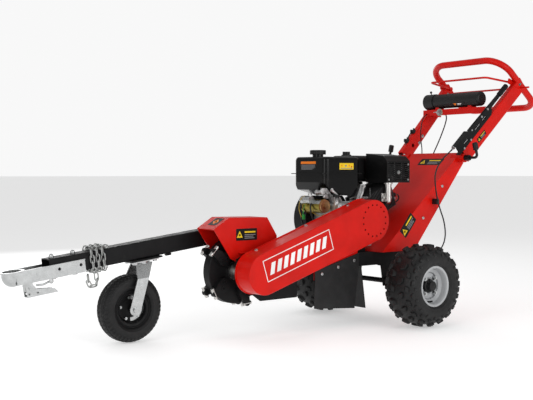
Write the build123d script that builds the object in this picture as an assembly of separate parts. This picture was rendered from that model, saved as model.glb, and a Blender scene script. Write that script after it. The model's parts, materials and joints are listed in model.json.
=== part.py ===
from build123d import *
import math
import os

# All sizes are in millimetres.
# X runs to the rear, measured from the rear axle; Y runs to the right-hand side; Z runs up from the ground.
# REAR_AXLE_X then moves the whole machine so that the origin is under the middle of it.
REAR_AXLE_X = 428.0

# Rear wheels: 16 x 8.00-7 tyres
TYRE_R = 203.0
TYRE_HALF_W = 98.0
WHEEL_Y = 353.0
LUG_CIRCLE_R = 50.8
AXLE_R = 12.5
RUNNING_FIT = 0.05
BOLT_HOLE_R = 4.05

# Frame
RAIL_X0 = -569.9
RAIL_X1 = 170.0
RAIL_Z0 = 290.0
RAIL_Z1 = 350.0
RAIL_FLANGE = 45.0
RAIL_T = 5.0
RAIL_LEFT_Y = -128.0
RAIL_RIGHT_Y = 122.0
DECK_T = 6.0

# Cutter rotor and belt drive
ROTOR_X = -876.0
ROTOR_Z = 303.0
ROTOR_Y = 13.0
DISC_R = 150.0
DISC_W = 46.0
STATIONS = 5
FIRST_STATION = 144.0
SHAFT_R = 20.0
CRANK_X = -206.0
CRANK_Z = 517.0
COVER_FRONT_R = 92.0
COVER_REAR_R = 100.0
COVER_Y = -230.0
BACKPLATE_Y = -133.0
BACKPLATE_T = 4.0
FLAP_BOLTS = ((-465, 270), (-360, 296), (-254, 322))
BASE_BOLTS = ((329, 678), (282, 606), (183, 517))

# Tow bar: 75 mm square tube, falling to the front
BAR_X = -1278.0
BAR_Y = 162.5
BAR_Z = 409.2
BAR_TILT = 6.857
BAR_W = 75.0
BAR_FRONT = -450.0
BAR_REAR = 642.0
CHAIN_WIRE_R = 3.0

# Caster
CASTER_YAW = -7.8
CASTER_TRAIL = 78.6
CASTER_DROP = 249.6
CASTER_R = 152.0
CASTER_HALF_W = 48.0

# Handle
PIVOT_X = 462.0
PIVOT_Z = 826.0
ARM_Y0 = 215.0
ARM_Y1 = 250.0
ARM_X1 = 897.0
ARM_Z1 = 1232.0
ARM_W = 75.0
ARM_T = 32.0
LOOP_R = 18.0
LOOP_HALF_W = 254.0
LOOP_FRONT = (729.0, 1360.0)
LOOP_REAR = (1051.0, 1115.0)
BAIL_R = 5.5
TANK_WALL = 2.5
LOOP_WALL = 2.8
BAIL_PIVOT = (890.0, 1240.0)
TUBE_X = 665.0
TUBE_Z = 1149.0
TUBE_R = 40.0

BAR = Location((BAR_X, BAR_Y, BAR_Z), (0, -BAR_TILT, 0))
FORK = BAR * Location((0, 0, 0), (0, 0, CASTER_YAW))
CASTER_AXLE = FORK * Pos(-CASTER_TRAIL, 0, -CASTER_DROP)
ROTOR = Pos(ROTOR_X, 0, ROTOR_Z)
CRANK = Pos(CRANK_X, 0, CRANK_Z)
GRIP_ANGLE = Rot(0, -38, 0)
COVER_TILT = math.degrees(math.atan2(CRANK_Z - ROTOR_Z, CRANK_X - ROTOR_X))


# ---- general shapes ----

def slab(points, y0, y1):
    """A plate with its outline in X and Z, from y0 to y1."""
    outline = make_face(Polyline(*points, close=True))
    return extrude(Plane.XZ.offset(-y1) * outline, y1 - y0)


def block(x0, x1, y0, y1, z0, z1, corner=0.0):
    """A box between limits, with its edges rounded when corner is given."""
    body = Pos((x0 + x1) / 2, (y0 + y1) / 2, (z0 + z1) / 2) * Box(x1 - x0, y1 - y0, z1 - z0)
    if corner > 0:
        body = fillet(body.edges(), corner)
    return body


def drum(radius, y0, y1, x=0.0, z=0.0):
    """A cylinder along Y."""
    return Pos(x, (y0 + y1) / 2, z) * Rot(90, 0, 0) * Cylinder(radius, y1 - y0)


def post(radius, x, y, z0, z1):
    """A cylinder along Z."""
    return Pos(x, y, (z0 + z1) / 2) * Cylinder(radius, z1 - z0)


def rod(start, end, radius):
    """A round rod between two points."""
    first = Vector(*start)
    run = Vector(*end) - first
    foot = (Align.CENTER, Align.CENTER, Align.MIN)
    return Plane(origin=first, z_dir=run) * Cylinder(radius, run.length, align=foot)


def bent_rod(points, radius, bend, closed=False):
    """A round rod along straight runs joined by arcs."""
    path = FilletPolyline(*points, radius=bend, close=closed)
    section = Plane(origin=path @ 0, z_dir=path % 0) * Circle(radius)
    return sweep(section, path=path)


def hexagon(across_flats, y0, y1, x=0.0, z=0.0):
    """A hexagonal bar along Y."""
    outline = RegularPolygon(across_flats / 2, 6, major_radius=False)
    return extrude(Plane.XZ.offset(-y1) * Pos(x, z) * outline, y1 - y0)


def turned(points, arcs=()):
    """A solid turned about Y from (radius, y) points; arcs maps an edge number to its middle point."""
    edges = []
    arcs = dict(arcs)
    for number, start in enumerate(points):
        end = points[(number + 1) % len(points)]
        if number in arcs:
            edges.append(ThreePointArc(start, arcs[number], end))
        else:
            edges.append(Line(start, end))
    return revolve(make_face(edges), Axis.Y)


def capsule(radius_front, radius_rear, y0, y1):
    """A plate round the rotor shaft and the crankshaft, with straight sides."""
    ends = Sketch() + [
        Pos(ROTOR_X, ROTOR_Z) * Circle(radius_front),
        Pos(CRANK_X, CRANK_Z) * Circle(radius_rear),
    ]
    return extrude(Plane.XZ.offset(-y1) * make_hull(ends.edges()), y1 - y0)


def together(parts):
    """Separate solids kept in one node."""
    solids = []
    for part in parts:
        solids.extend(part.solids())
    return Compound(children=solids)


# ---- rear wheels ----

def wheel_place(side):
    """Puts a wheel drawn with its outside at +Y on the left (-1) or the right (+1)."""
    return Location((0, side * WHEEL_Y, TYRE_R), (0, 0, 0 if side > 0 else 180))


def tyre():
    bead_r = 91.0
    points = [
        (bead_r, 73.5), (105.5, 75.6), (188, 84), (188, -84), (105.5, -75.6), (bead_r, -73.5),
        (bead_r, -62), (178, -74), (178, 74), (bead_r, 62),
    ]
    arcs = {
        1: (146, TYRE_HALF_W), 2: (TYRE_R, 0), 3: (146, -TYRE_HALF_W),
        6: (140, -86), 7: (191, 0), 8: (140, 86),
    }
    return turned(points, arcs)


def rim():
    well = [
        (104, 80), (104, 76.5), (91, 74.5), (89, 70), (86, 46), (70, 36), (70, -32), (86, -44), (89, -70),
        (91, -74.5), (104, -76.5), (104, -80), (88, -78), (85, -70), (82, -46), (66.5, -35), (66.5, 39),
        (82, 49), (85, 70), (88, 78),
    ]
    dish = [(67, 24), (67, 29), (60, 34), (42, 36), (35, 31), (35, 27), (42, 32), (59, 30)]
    body = turned(well) + turned(dish)
    for number in range(4):
        angle = math.radians(45 + 90 * number)
        body -= drum(6.6, 20, 45, LUG_CIRCLE_R * math.cos(angle), LUG_CIRCLE_R * math.sin(angle))
    return body


def hub(with_drum):
    body = drum(58, 18, 26) + drum(27, -58, 18)
    if with_drum:
        body += drum(60, -60, -24) - drum(55, -61, -28)
    nuts = []
    for number in range(4):
        angle = math.radians(45 + 90 * number)
        x = LUG_CIRCLE_R * math.cos(angle)
        z = LUG_CIRCLE_R * math.sin(angle)
        body += drum(6, 26, 56, x, z)
        nuts.append(hexagon(19, 36.2, 50, x, z) - drum(6, 30, 60, x, z))
    body -= drum(AXLE_R + RUNNING_FIT, -70, 40)
    return together([body] + nuts)


def hub_cap():
    outside = [(29, 36.5), (33, 36.5), (33, 43), (28, 47), (23, 66), (0, 69)]
    inside = [(0, 65), (20, 62.5), (25, 45), (29, 41)]
    return turned(outside + inside)


def rear_axle():
    body = drum(AXLE_R, -WHEEL_Y - 54, WHEEL_Y + 54, 0, TYRE_R)
    for side in (-1, 1):
        y = side * WHEEL_Y
        body += hexagon(36, min(y + side * 27, y + side * 44), max(y + side * 27, y + side * 44), 0, TYRE_R)
    for y0 in (-118, 104):
        hanger = slab([(-45, RAIL_Z0), (45, RAIL_Z0), (26, TYRE_R - 24), (-26, TYRE_R - 24)], y0, y0 + 8)
        foot = block(-60, 60, y0 - 8, y0 + 12, RAIL_Z0 - 6, RAIL_Z0)
        body += hanger + foot
    return body


def brake_backplate():
    plate_y = -WHEEL_Y + 64
    body = drum(58, plate_y - 3, plate_y, 0, TYRE_R) + drum(21, plate_y, -118, 0, TYRE_R)
    arm = [(-14, TYRE_R), (14, TYRE_R), (34, TYRE_R + 82), (14, TYRE_R + 86)]
    body += slab(arm, -252, -246) + drum(18, -252, -246, 0, TYRE_R)
    return body - drum(AXLE_R, plate_y - 10, -110, 0, TYRE_R)


# ---- frame ----

def channel(outer_y, inward):
    """A channel rail whose web is at outer_y and whose flanges point inward."""
    edge = outer_y + inward * RAIL_FLANGE
    web = outer_y + inward * RAIL_T
    points = [
        (outer_y, RAIL_Z0), (edge, RAIL_Z0), (edge, RAIL_Z0 + RAIL_T), (web, RAIL_Z0 + RAIL_T),
        (web, RAIL_Z1 - RAIL_T), (edge, RAIL_Z1 - RAIL_T), (edge, RAIL_Z1), (outer_y, RAIL_Z1),
    ]
    outline = make_face(Polyline(*points, close=True))
    return extrude(Plane.YZ.offset(RAIL_X0) * outline, RAIL_X1 - RAIL_X0)


def frame_rails():
    return together([channel(RAIL_LEFT_Y, 1), channel(RAIL_RIGHT_Y, -1)])


def engine_deck():
    deck = block(RAIL_X0, 150, RAIL_LEFT_Y, RAIL_RIGHT_Y, RAIL_Z1, RAIL_Z1 + DECK_T)
    parts = [deck]
    for x in (-235, 120):
        y0 = RAIL_LEFT_Y + RAIL_T
        y1 = RAIL_RIGHT_Y - RAIL_T
        tube = block(x - 24, x + 24, y0, y1, RAIL_Z0 + 6, RAIL_Z1 - 6)
        parts.append(tube - block(x - 20, x + 20, y0 - 1, y1 + 1, RAIL_Z0 + 10, RAIL_Z1 - 10))
    for y in (-60, 65):
        parts.append(block(-330, -116, y - 15, y + 15, RAIL_Z1 + DECK_T, 384))
    return together(parts)


def rotor_housing():
    low_edge = [(-925, 362), (-925, 262), (-826, 189), (-789, 163), (-575, 163)]
    left = low_edge + [(-575, 345), (-640, 385), (-860, 385)]
    right = low_edge + [(-575, 420), (-640, 500), (-860, 475)]
    body = slab(left, -80, -75) + slab(right, 101, 106)
    body += block(-575, -570, -80, 106, 163, 350)
    body += block(-575, -570, RAIL_LEFT_Y, RAIL_RIGHT_Y, RAIL_Z0, RAIL_Z1)
    for x in (480.0, 600.0):
        body += BAR * Pos(x, 0, 0) * drum(24, 105 - BAR_Y, 124.9 - BAR_Y)
        body -= BAR * Pos(x, 0, 0) * drum(8, 90 - BAR_Y, 126 - BAR_Y)
    for y0 in (-81, 100):
        body -= drum(30, y0, y0 + 7, ROTOR_X, ROTOR_Z)
    return body


def tow_bar():
    half = BAR_W / 2
    outline = RectangleRounded(BAR_W, BAR_W, 7) - RectangleRounded(BAR_W - 9, BAR_W - 9, 3.5)
    tube = extrude(Plane.YZ.offset(BAR_FRONT) * outline, BAR_REAR - BAR_FRONT)
    for x in (-422.0, -324.0):
        tube -= post(6.5, x, 0, -half - 1, half + 1)
    for x in (480.0, 600.0):
        tube -= drum(8, -half - 1, half + 1, x, 0)
    adapter = block(-78, 78, -58, 58, -half - 7, -half)
    for x in (-48, 48):
        for y in (-38, 38):
            adapter -= post(5, x, y, -half - 8, -half)
    clip = block(112, 138, -half, -half + 16, -half - 9, -half)
    return BAR * (tube + adapter + clip)


def coupler_body():
    """A ball coupler bolted under the bar: a folded channel with a domed cup at its nose, mouth upward."""
    half = BAR_W / 2
    nose_x = -600.0
    rear_x = -293.0
    side_y = half + 5
    rim_z = 13.0
    cup_z = -8.0
    ball_z = -20.0
    ball_r = 26.5
    dome = Pos(nose_x, 0, cup_z) * Sphere(side_y) & block(nose_x - 60, nose_x + 60, -60, 60, -60, cup_z)
    body = dome + post(side_y, nose_x, 0, cup_z, 9) + post(50, nose_x, 0, 9, rim_z)
    walls = block(nose_x, rear_x, -side_y, side_y, -side_y, rim_z)
    walls -= block(nose_x - 1, rear_x + 1, -half - 0.5, half + 0.5, -half - 0.5, rim_z + 1)
    for side in (-1, 1):
        y0, y1 = sorted((side * (side_y - 1), side * (side_y + 4)))
        walls += block(nose_x, rear_x, y0, y1, rim_z - 3, rim_z)
    body += walls + block(nose_x + 30, nose_x + 60, -side_y + 1, side_y - 1, -side_y + 1, -10)
    body += block(-556, -522, -11.5, 11.5, -80, -side_y + 1)
    body += drum(4, -20, 20, -539, -69)
    body += drum(5, -side_y - 1.5, -side_y + 2, -510, -12)
    body -= post(38, nose_x, 0, -2, rim_z + 1)
    body -= post(ball_r, nose_x, 0, ball_z, 0)
    body -= Pos(nose_x, 0, ball_z) * Sphere(ball_r)
    for x in (-412.0, -313.0):
        body -= drum(6.75, -side_y - 1, side_y + 1, x, -9)
    for x in (-422.0, -324.0):
        body -= post(6.5, x, 0, -side_y - 1, -half + 1)
    return BAR * body


def coupler_latch():
    outline = [(-556, -56), (-552, -105), (-415, -105), (-430, -87), (-508, -76), (-522, -56)]
    cheeks = slab(outline, -15, -12) + slab(outline, 12, 15)
    bridge = block(-550, -420, -15, 15, -105, -102)
    body = cheeks + bridge - drum(4 + RUNNING_FIT, -20, 20, -539, -69)
    for x, z in ((-543, -92), (-505, -92)):
        body -= drum(4, -20, 20, x, z)
    return BAR * body


def caster_mount():
    half = BAR_W / 2
    body = block(-63, 63, -50, 50, -half - 13, -half - 7) + post(36, 0, 0, -half - 20, -half - 13)
    body += post(8, 0, 0, -half - 42, -half - 20) + post(14, 0, 0, -half - 42, -half - 34)
    for x in (-48, 48):
        for y in (-38, 38):
            body -= post(5, x, y, -half - 14, -half - 6)
    return BAR * body


def caster_fork():
    crown_z = -BAR_W / 2 - 20.3
    leg_face = [
        (27, crown_z), (38, crown_z), (70, crown_z - 60), (70, crown_z - 230), (64, crown_z - 230),
        (64, crown_z - 61), (30, crown_z - 7), (27, crown_z - 7),
    ]
    strip = make_face(Polyline(*leg_face, close=True))
    side_view = [(-34, crown_z), (38, crown_z), (0, -120), (-55.3, -260.7), (-101.9, -242.5), (-54, -120)]
    mask = slab(side_view, -90, 90) + drum(25, -90, 90, -CASTER_TRAIL, -CASTER_DROP)
    legs = extrude(Plane.YZ.offset(-120) * (strip + mirror(strip, Plane.YZ)), 180) & mask
    crown = post(40, 0, 0, crown_z - 7, crown_z)
    body = legs + crown - post(8 + RUNNING_FIT, 0, 0, crown_z - 8, crown_z + 1)
    axle = drum(6, -78, 80, -CASTER_TRAIL, -CASTER_DROP)
    body -= drum(6, -90, 90, -CASTER_TRAIL, -CASTER_DROP)
    axle += hexagon(19, -78, -70, -CASTER_TRAIL, -CASTER_DROP)
    axle += hexagon(19, 70, 80, -CASTER_TRAIL, -CASTER_DROP)
    return together([FORK * body, FORK * axle])


def caster_rim():
    outside = [(6 + RUNNING_FIT, 60), (16, 60), (16, 18), (40, 10), (56, 10)]
    outside += [(66, 32), (76, 34), (80, 38), (82, 38)]
    inside = [(82, 36), (78, 30), (69, 28), (60, 6)]
    half = outside + inside
    other_half = [(radius, -y) for radius, y in reversed(half)]
    body = turned(half + other_half)
    bolts = []
    for number in range(5):
        angle = math.radians(20 + 72 * number)
        x = 48 * math.cos(angle)
        z = 48 * math.sin(angle)
        bolts.append(hexagon(12, -17, -10, x, z) + drum(4, -21, -10, x, z))
        bolts.append(hexagon(12, 10, 16, x, z))
    return CASTER_AXLE * together([body] + bolts)


def caster_tyre():
    points = [(79, 27), (138, 40), (138, -40), (79, -27), (79, -20), (130, -34), (130, 34), (79, 20)]
    arcs = {
        0: (112, CASTER_HALF_W), 1: (CASTER_R, 0), 2: (112, -CASTER_HALF_W),
        4: (108, -41), 5: (144, 0), 6: (108, 41),
    }
    return CASTER_AXLE * turned(points, arcs)


def chain_link():
    """One welded link lying along X."""
    path = SlotCenterToCenter(18.4, 16).wire()
    return sweep(Plane(origin=path @ 0, z_dir=path % 0) * Circle(CHAIN_WIRE_R), path=path)


def link_place(point, along, number):
    """Puts a link on its path, every other one turned a quarter."""
    side = Vector(1, 0, 0) if abs(along.X) < 0.9 else Vector(0, 1, 0)
    roll = 45 if number % 2 else -45
    return Plane(origin=point, x_dir=along, z_dir=along.cross(side)).location * Rot(roll, 0, 0)


def safety_chains():
    """Galvanised links wound three turns round the tow bar, with a loop left hanging."""
    turns = 3
    links_per_turn = 14
    first_x = -262.0
    step_x = 26.0
    away = 9.3
    hang_r = 20.0
    link = chain_link()
    wrap = RectangleRounded(BAR_W + 2 * away, BAR_W + 2 * away, 7 + away).wire()
    links = []
    for number in range(turns * links_per_turn):
        turn = number / links_per_turn
        flat = wrap @ (turn % 1)
        along = wrap % (turn % 1)
        point = Vector(first_x + step_x * turn, flat.X, flat.Y)
        links.append(BAR * link_place(point, Vector(0, along.X, along.Y), number) * link)
    hang_z = -BAR_W / 2 - 59
    left = Line((-246 - hang_r, hang_z + 29), (-246 - hang_r, hang_z))
    low = ThreePointArc((-246 - hang_r, hang_z), (-246, hang_z - hang_r), (-246 + hang_r, hang_z))
    right = Line((-246 + hang_r, hang_z), (-246 + hang_r, hang_z + 29))
    hang = Wire([left.edge(), low.edge(), right.edge()])
    hanging = 5
    for number in range(hanging):
        flat = hang @ ((number + 0.5) / hanging)
        along = hang % ((number + 0.5) / hanging)
        place = link_place(Vector(flat.X, 0, flat.Y), Vector(along.X, 0, along.Y), number)
        links.append(BAR * place * link)
    return together(links)


# ---- belt drive and cutter ----

def belt_backplate():
    y1 = BACKPLATE_Y + BACKPLATE_T
    body = capsule(COVER_FRONT_R + 4, COVER_REAR_R + 4, BACKPLATE_Y, y1)
    body += slab([(-508, 330), (-508, 242), (-225, 292), (-225, 430)], BACKPLATE_Y, y1)
    body -= drum(34, BACKPLATE_Y - 1, y1 + 1, ROTOR_X, ROTOR_Z)
    body -= drum(40, BACKPLATE_Y - 1, y1 + 1, CRANK_X, CRANK_Z)
    return body


def belt_cover():
    wall = 3.0
    y1 = BACKPLATE_Y
    body = capsule(COVER_FRONT_R, COVER_REAR_R, COVER_Y, y1)
    body = fillet(body.faces().sort_by(Axis.Y)[0].edges(), 4)
    body -= capsule(COVER_FRONT_R - wall, COVER_REAR_R - wall, COVER_Y + wall, y1 + 1)
    vents = 16
    for number in range(vents):
        angle = math.radians(360 / vents * (number + 0.5))
        x = CRANK_X + 76 * math.cos(angle)
        z = CRANK_Z + 76 * math.sin(angle)
        body -= drum(4.2, COVER_Y - 1, COVER_Y + wall + 1, x, z)
    return body


def cover_side_frame(fraction, top):
    """A frame on the cover's top (1) or bottom (-1) side, its z pointing straight out of the wall."""
    run = math.hypot(CRANK_X - ROTOR_X, CRANK_Z - ROTOR_Z)
    lean = math.degrees(math.asin((COVER_REAR_R - COVER_FRONT_R) / run))
    radius = COVER_FRONT_R + (COVER_REAR_R - COVER_FRONT_R) * fraction
    x = ROTOR_X + (CRANK_X - ROTOR_X) * fraction
    z = ROTOR_Z + (CRANK_Z - ROTOR_Z) * fraction
    spin = -COVER_TILT - lean if top > 0 else 180 - COVER_TILT + lean
    return Location((x, BACKPLATE_Y - 12, z), (0, spin, 0)) * Pos(0, 0, radius - 0.2)


def cover_screws():
    screws = []
    for top in (1, -1):
        for fraction in (0.06, 0.5, 0.9):
            head = extrude(RegularPolygon(6.5, 6, major_radius=False), 5) + Pos(0, 0, 0.75) * Cylinder(9, 1.5)
            screws.append(cover_side_frame(fraction, top) * Pos(0, 0, 0.2) * head)
    return together(screws)


def pulley(radius, y0, y1, bore):
    body = drum(radius, y0, y1)
    middle = (y0 + y1) / 2
    for groove_y in (middle - 10.5, middle + 10.5):
        body -= drum(radius + 1, groove_y - 8.3, groove_y + 8.3) - drum(radius - 13, y0, y1)
    return body - drum(bore, y0 - 1, y1 + 1)


def lower_pulley():
    return ROTOR * pulley(60, -212, -166, 15 + RUNNING_FIT)


def upper_pulley():
    shaft = drum(12.7, -216, -100) + drum(18, -164, -112)
    return CRANK * (pulley(64, -212, -166, 12.7) + shaft)


def drive_belts():
    belts = []
    for y in (-189 - 10.5, -189 + 10.5):
        outer = capsule(60 - 1, 64 - 1, y - 7.5, y + 7.5)
        inner = capsule(60 - 12.4, 64 - 12.4, y - 8, y + 8)
        belts.append(outer - inner)
    return together(belts)


def rotor_shaft():
    body = drum(SHAFT_R, -162, 142) + drum(15, -216, -162) + drum(24, -162, -112)
    body += hexagon(24, -222, -216)
    body += drum(44, ROTOR_Y - DISC_W / 2 - 14, ROTOR_Y - DISC_W / 2)
    body += drum(44, ROTOR_Y + DISC_W / 2, ROTOR_Y + DISC_W / 2 + 14)
    return ROTOR * body


def bearing(face_y, outward):
    """A flanged bearing unit bolted on a plate whose outer face is at face_y."""
    def span(a, b):
        return sorted((face_y + outward * a, face_y + outward * b))
    flange = Plane.XZ.offset(-span(0, 12)[1]) * (RectangleRounded(104, 104, 20))
    body = extrude(flange, 12) + drum(40, *span(0, 26)) + drum(29, *span(26, 31))
    body -= drum(SHAFT_R + RUNNING_FIT, face_y - 40, face_y + 40)
    for x in (-38, 38):
        for z in (-38, 38):
            body += hexagon(16, *span(12, 20), x, z)
    return ROTOR * body


def rotor_bearings():
    return together([bearing(-80, -1), bearing(106, 1)])


def cutter_disc():
    y0 = ROTOR_Y - DISC_W / 2
    y1 = ROTOR_Y + DISC_W / 2
    body = drum(DISC_R, y0, y1)
    body = fillet(body.edges(), 3)
    return ROTOR * (body - drum(SHAFT_R, y0 - 1, y1 + 1))


def station_places():
    """Frames at the tooth stations, x pointing outward from the shaft, for each face of the disc."""
    places = []
    for number in range(STATIONS):
        angle = FIRST_STATION + 360 / STATIONS * number
        for face in (-1, 1):
            places.append((ROTOR * Pos(0, ROTOR_Y, 0) * Rot(0, -angle, 0), face))
    return places


def tooth_pockets():
    parts = []
    inner = DISC_W / 2 + 0.05
    outer = inner + 21
    for place, face in station_places():
        ends = Sketch() + [Pos(96, 0) * Circle(29), Pos(158, 2) * Circle(15)]
        y0, y1 = sorted((face * inner, face * outer))
        outline = make_hull(ends.edges())
        body = extrude(Plane.XZ.offset(-y1) * outline, y1 - y0)
        body -= tooth_at(face, 9.2)
        body = body - drum(44.5, y0 - 1, y1 + 1)
        cap_y0, cap_y1 = sorted((face * outer, face * (outer + 3)))
        for x, z in ((86, -9), (112, 9)):
            body += drum(8.5, cap_y0, cap_y1, x, z)
            body -= hexagon(8, cap_y0 - 1, cap_y1 + 1, x, z)
        parts.append(place * body)
    return together(parts)


def tooth_at(face, radius):
    """The space of one tooth's shank, leaning 10 degrees out of the tangent."""
    place = Location((161, face * 35, 0), (0, 10, 0))
    return place * Pos(0, 0, 2) * Cylinder(radius, 44)


def cutter_teeth():
    parts = []
    for place, face in station_places():
        shank = tooth_at(face, 9)
        tip = Location((161, face * 35, 0), (0, 10, 0)) * Pos(0, 0, -23) * Cone(9, 8, 6)
        collar = Location((161, face * 35, 0), (0, 10, 0)) * Pos(0, 0, 24) * Cylinder(8, 4)
        parts.append(place * (shank + tip + collar))
    return together(parts)


def cutter_guard():
    """The red chute over the cutter: two side plates and a folded strip over the top and back."""
    wall = 4.0
    y0 = -50.0
    y1 = 80.0
    top = [(-1028, 497), (-944, 546), (-725, 542), (-668, 457), (-668, 345)]
    side = top + [(-900, 345), (-934, 362)]
    body = slab(side, y0, y1)
    inside = [(-1040, 484), (-941, 541.6), (-727, 538), (-672, 455.5), (-672, 340), (-905, 340), (-950, 350)]
    body -= slab(inside, y0 + wall, y1 - wall)
    body += block(-890, -672, -75, y0 + wall, 385, 389) + block(-890, -672, y1 - wall, 101, 385, 389)
    return body


def flap_side():
    outline = [(-508, 286), (-510, 109), (-251, 89), (-223, 295), (-223, 356)]
    flap = slab(outline, BACKPLATE_Y - 6, BACKPLATE_Y)
    for x, z in FLAP_BOLTS:
        flap -= drum(BOLT_HOLE_R, BACKPLATE_Y - 7, BACKPLATE_Y + 1, x, z)
    return flap


def flap_rear():
    top = (-211.0, RAIL_Z0 - 1)
    low = (-181.0, 84.0)
    return slab([top, (top[0] + 6, top[1]), (low[0] + 6, low[1]), low], -139, 116)


def dome_bolt(x, y, z, length):
    """A round-headed bolt through a plate, its head on the -Y side."""
    head = drum(8, y - 4.5, y, x, z)
    head = fillet(head.edges().sort_by(Axis.Y)[0], 3)
    return head + drum(4, y, y + length, x, z)


def frame_bolts():
    half = BAR_W / 2
    bolts = []
    for x, z in FLAP_BOLTS:
        bolts.append(dome_bolt(x, BACKPLATE_Y - 6, z, 6))
    for x, z in BASE_BOLTS:
        bolts.append(dome_bolt(x, -190, z, 4))
    for x in (-422.0, -324.0):
        dome = Pos(x, 0, half + 8) * Sphere(9) & post(11, x, 0, half + 4, half + 20)
        nut = post(11, x, 0, half, half + 8) + dome
        shank = post(6.4, x, 0, -half - 6, half + 1)
        foot = post(11, x, 0, -half - 14, -half - 5)
        bolts.append(BAR * (nut + shank + foot))
    for x in (-48, 48):
        for y in (-38, 38):
            bolt = post(4.9, x, y, -half - 13.1, -half) + post(9, x, y, -half - 20, -half - 13)
            bolts.append(BAR * bolt)
    for x in (480.0, 600.0):
        bolt = drum(7.9, 95 - BAR_Y, half + 8, x, 0) + hexagon(24, half, half + 12, x, 0)
        bolts.append(BAR * bolt)
    return together(bolts)


# ---- engine ----

def crankcase():
    body = block(-312, -96, -98, 98, 392, 600, 16)
    body += block(-330, -90, -92, 96, 384, 396)
    body += CRANK * (drum(78, -108, -90) + drum(34, -111, -100))
    for number in range(7):
        angle = math.radians(360 / 7 * number)
        body += CRANK * hexagon(11, -113, -107, 69 * math.cos(angle), 69 * math.sin(angle))
    body -= CRANK * drum(18.4, -116, -60)
    body += slab([(-282, 590), (-254, 590), (-336, 672), (-362, 672)], -30, -14)
    body += slab([(-146, 590), (-116, 590), (-78, 690), (-102, 690)], -30, -14)
    body += block(-268, -130, -34, -10, 585, 606)
    body += post(13, -300, -60, 560, 628) + post(17, -300, -60, 628, 640)
    return body


def cylinder_block():
    """The barrel and head, leaning 25 degrees above the horizontal, with cooling fins."""
    lean = Location((CRANK_X, 0, CRANK_Z), (0, -25, 0))
    body = block(100, 332, -42, 56, -56, 30)
    fin_pitch = 10.0
    for number in range(20):
        u = 125 + fin_pitch * number
        body += block(u, u + 3.5, -68, 84, -76, 50)
    body += block(318, 346, -50, 66, -62, 34, 6)
    placed = lean * body - block(-320, -95, -120, 120, 380, 601) - block(-152, -70, -31, -13, 580, 700)
    return max(placed.solids(), key=lambda solid: solid.volume)


def tank_shape(inset):
    """The tank's rounded box, shrunk all over by inset."""
    profile = [(-349, 700), (-322, 662), (-206, 634), (-176, 634), (-110, 700), (-110, 826), (-349, 826)]
    outline = make_face(Polyline(*profile, close=True))
    if inset > 0:
        outline = offset(outline, amount=-inset, kind=Kind.INTERSECTION)
    body = extrude(Plane.XZ.offset(-202 + inset) * outline, 238 - 2 * inset)
    upright = [e for e in body.edges() if abs((e @ 0).Z - (e @ 1).Z) > 100 and abs((e @ 0).X - (e @ 1).X) < 1]
    body = fillet(upright, 26 - inset)
    return fillet(body.faces().sort_by(Axis.Z)[-1].edges(), 16 - inset)


def fuel_tank():
    flange = extrude(Pos(-230, 83, 741) * RectangleRounded(281, 270, 34), 4)
    return tank_shape(0) + flange + post(27, -290, 85, 824, 838) - tank_shape(TANK_WALL)


def fuel_cap():
    body = post(40, -290, 85, 838.4, 860)
    body = fillet(body.edges().sort_by(Axis.Z)[-1], 4)
    for number in range(24):
        angle = math.radians(15 * number)
        x = -290 + 40 * math.cos(angle)
        y = 85 + 40 * math.sin(angle)
        body -= post(2.2, x, y, 836, 862)
    return body


def air_cleaner():
    body = block(-78, 120, 60, 226, 700, 836, 22)
    body += post(26, -3, 180, 834, 842)
    knob = post(20, -3, 180, 842, 858)
    for number in range(5):
        angle = math.radians(72 * number)
        knob -= post(7, -3 + 23 * math.cos(angle), 180 + 23 * math.sin(angle), 840, 860)
    body += knob + block(-30, 40, 96, 150, 620, 702, 8)
    return body - block(-74, 116, 64, 222, 704, 831, 18)


def muffler():
    section = [(-110, 697), (-110, 808), (-84, 832), (40, 846), (40, 697)]
    inner = [(-107, 700), (-107, 806.5), (-82.5, 829), (37, 842.5), (37, 700)]
    face = make_face(Polyline(*section, close=True))
    hollow = make_face(Polyline(*inner, close=True))
    guard = extrude(Plane.YZ.offset(3) * face, 167) - extrude(Plane.YZ.offset(6) * hollow, 161)
    for row in range(9):
        z = 708 + 10.6 * row
        for column in range(3):
            x = 12 + 52 * column
            guard -= block(x, x + 45, -111, -105, z, z + 5)
    can = block(14, 160, -98, 28, 708, 806, 24)
    return together([guard, can])


def exhaust_pipe():
    x = 34.0
    body = post(16, x, -88, 604, 696.8) + drum(17, -88, -76, x, 622)
    body += block(x - 32, x + 32, -76, -68.2, 600, 644, 3)
    body += Pos(x, -88, 604) * Sphere(16) + post(22, x, -88, 690, 696.8)
    for side in (-1, 1):
        body += hexagon(13, -84, -76, x + side * 25, 622)
    return body


def recoil_housing():
    body = CRANK * (drum(150, 100, 192) + drum(118, 192, 214))
    body = fillet(body.edges().filter_by(GeomType.CIRCLE).sort_by(Axis.Y)[-1], 8)
    body += CRANK * drum(96, 213, 232)
    for number in range(18):
        spin = Rot(0, 20 * number, 0)
        body -= CRANK * spin * block(54, 84, 222, 240, -4, 4)
    body -= CRANK * GRIP_ANGLE * block(97, 130, 208, 226, -9, 9)
    clear_of_tank = block(-370, -90, 90, 216, 630, 700)
    fan_space = CRANK * drum(145, 105, 187) - block(-370, -90, 90, 216, 625, 700)
    return body - clear_of_tank - fan_space


def recoil_grip():
    grip = block(98, 112, 214.4, 240, -22, 22, 5)
    return CRANK * GRIP_ANGLE * grip


def starter_motor():
    x = -352.0
    z = 584.0
    body = drum(34, -30, 82, x, z) + drum(31, -40, -30, x, z) + drum(12, -45, -40, x, z)
    body += drum(38, 82, 99, x, z) + block(x, -316, 84, 98, z - 30, z + 30)
    body += drum(19, 22, 92, x - 36, z + 30) + block(x - 40, x - 20, 50, 80, z + 4, z + 24)
    return body


# ---- handle ----

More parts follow.
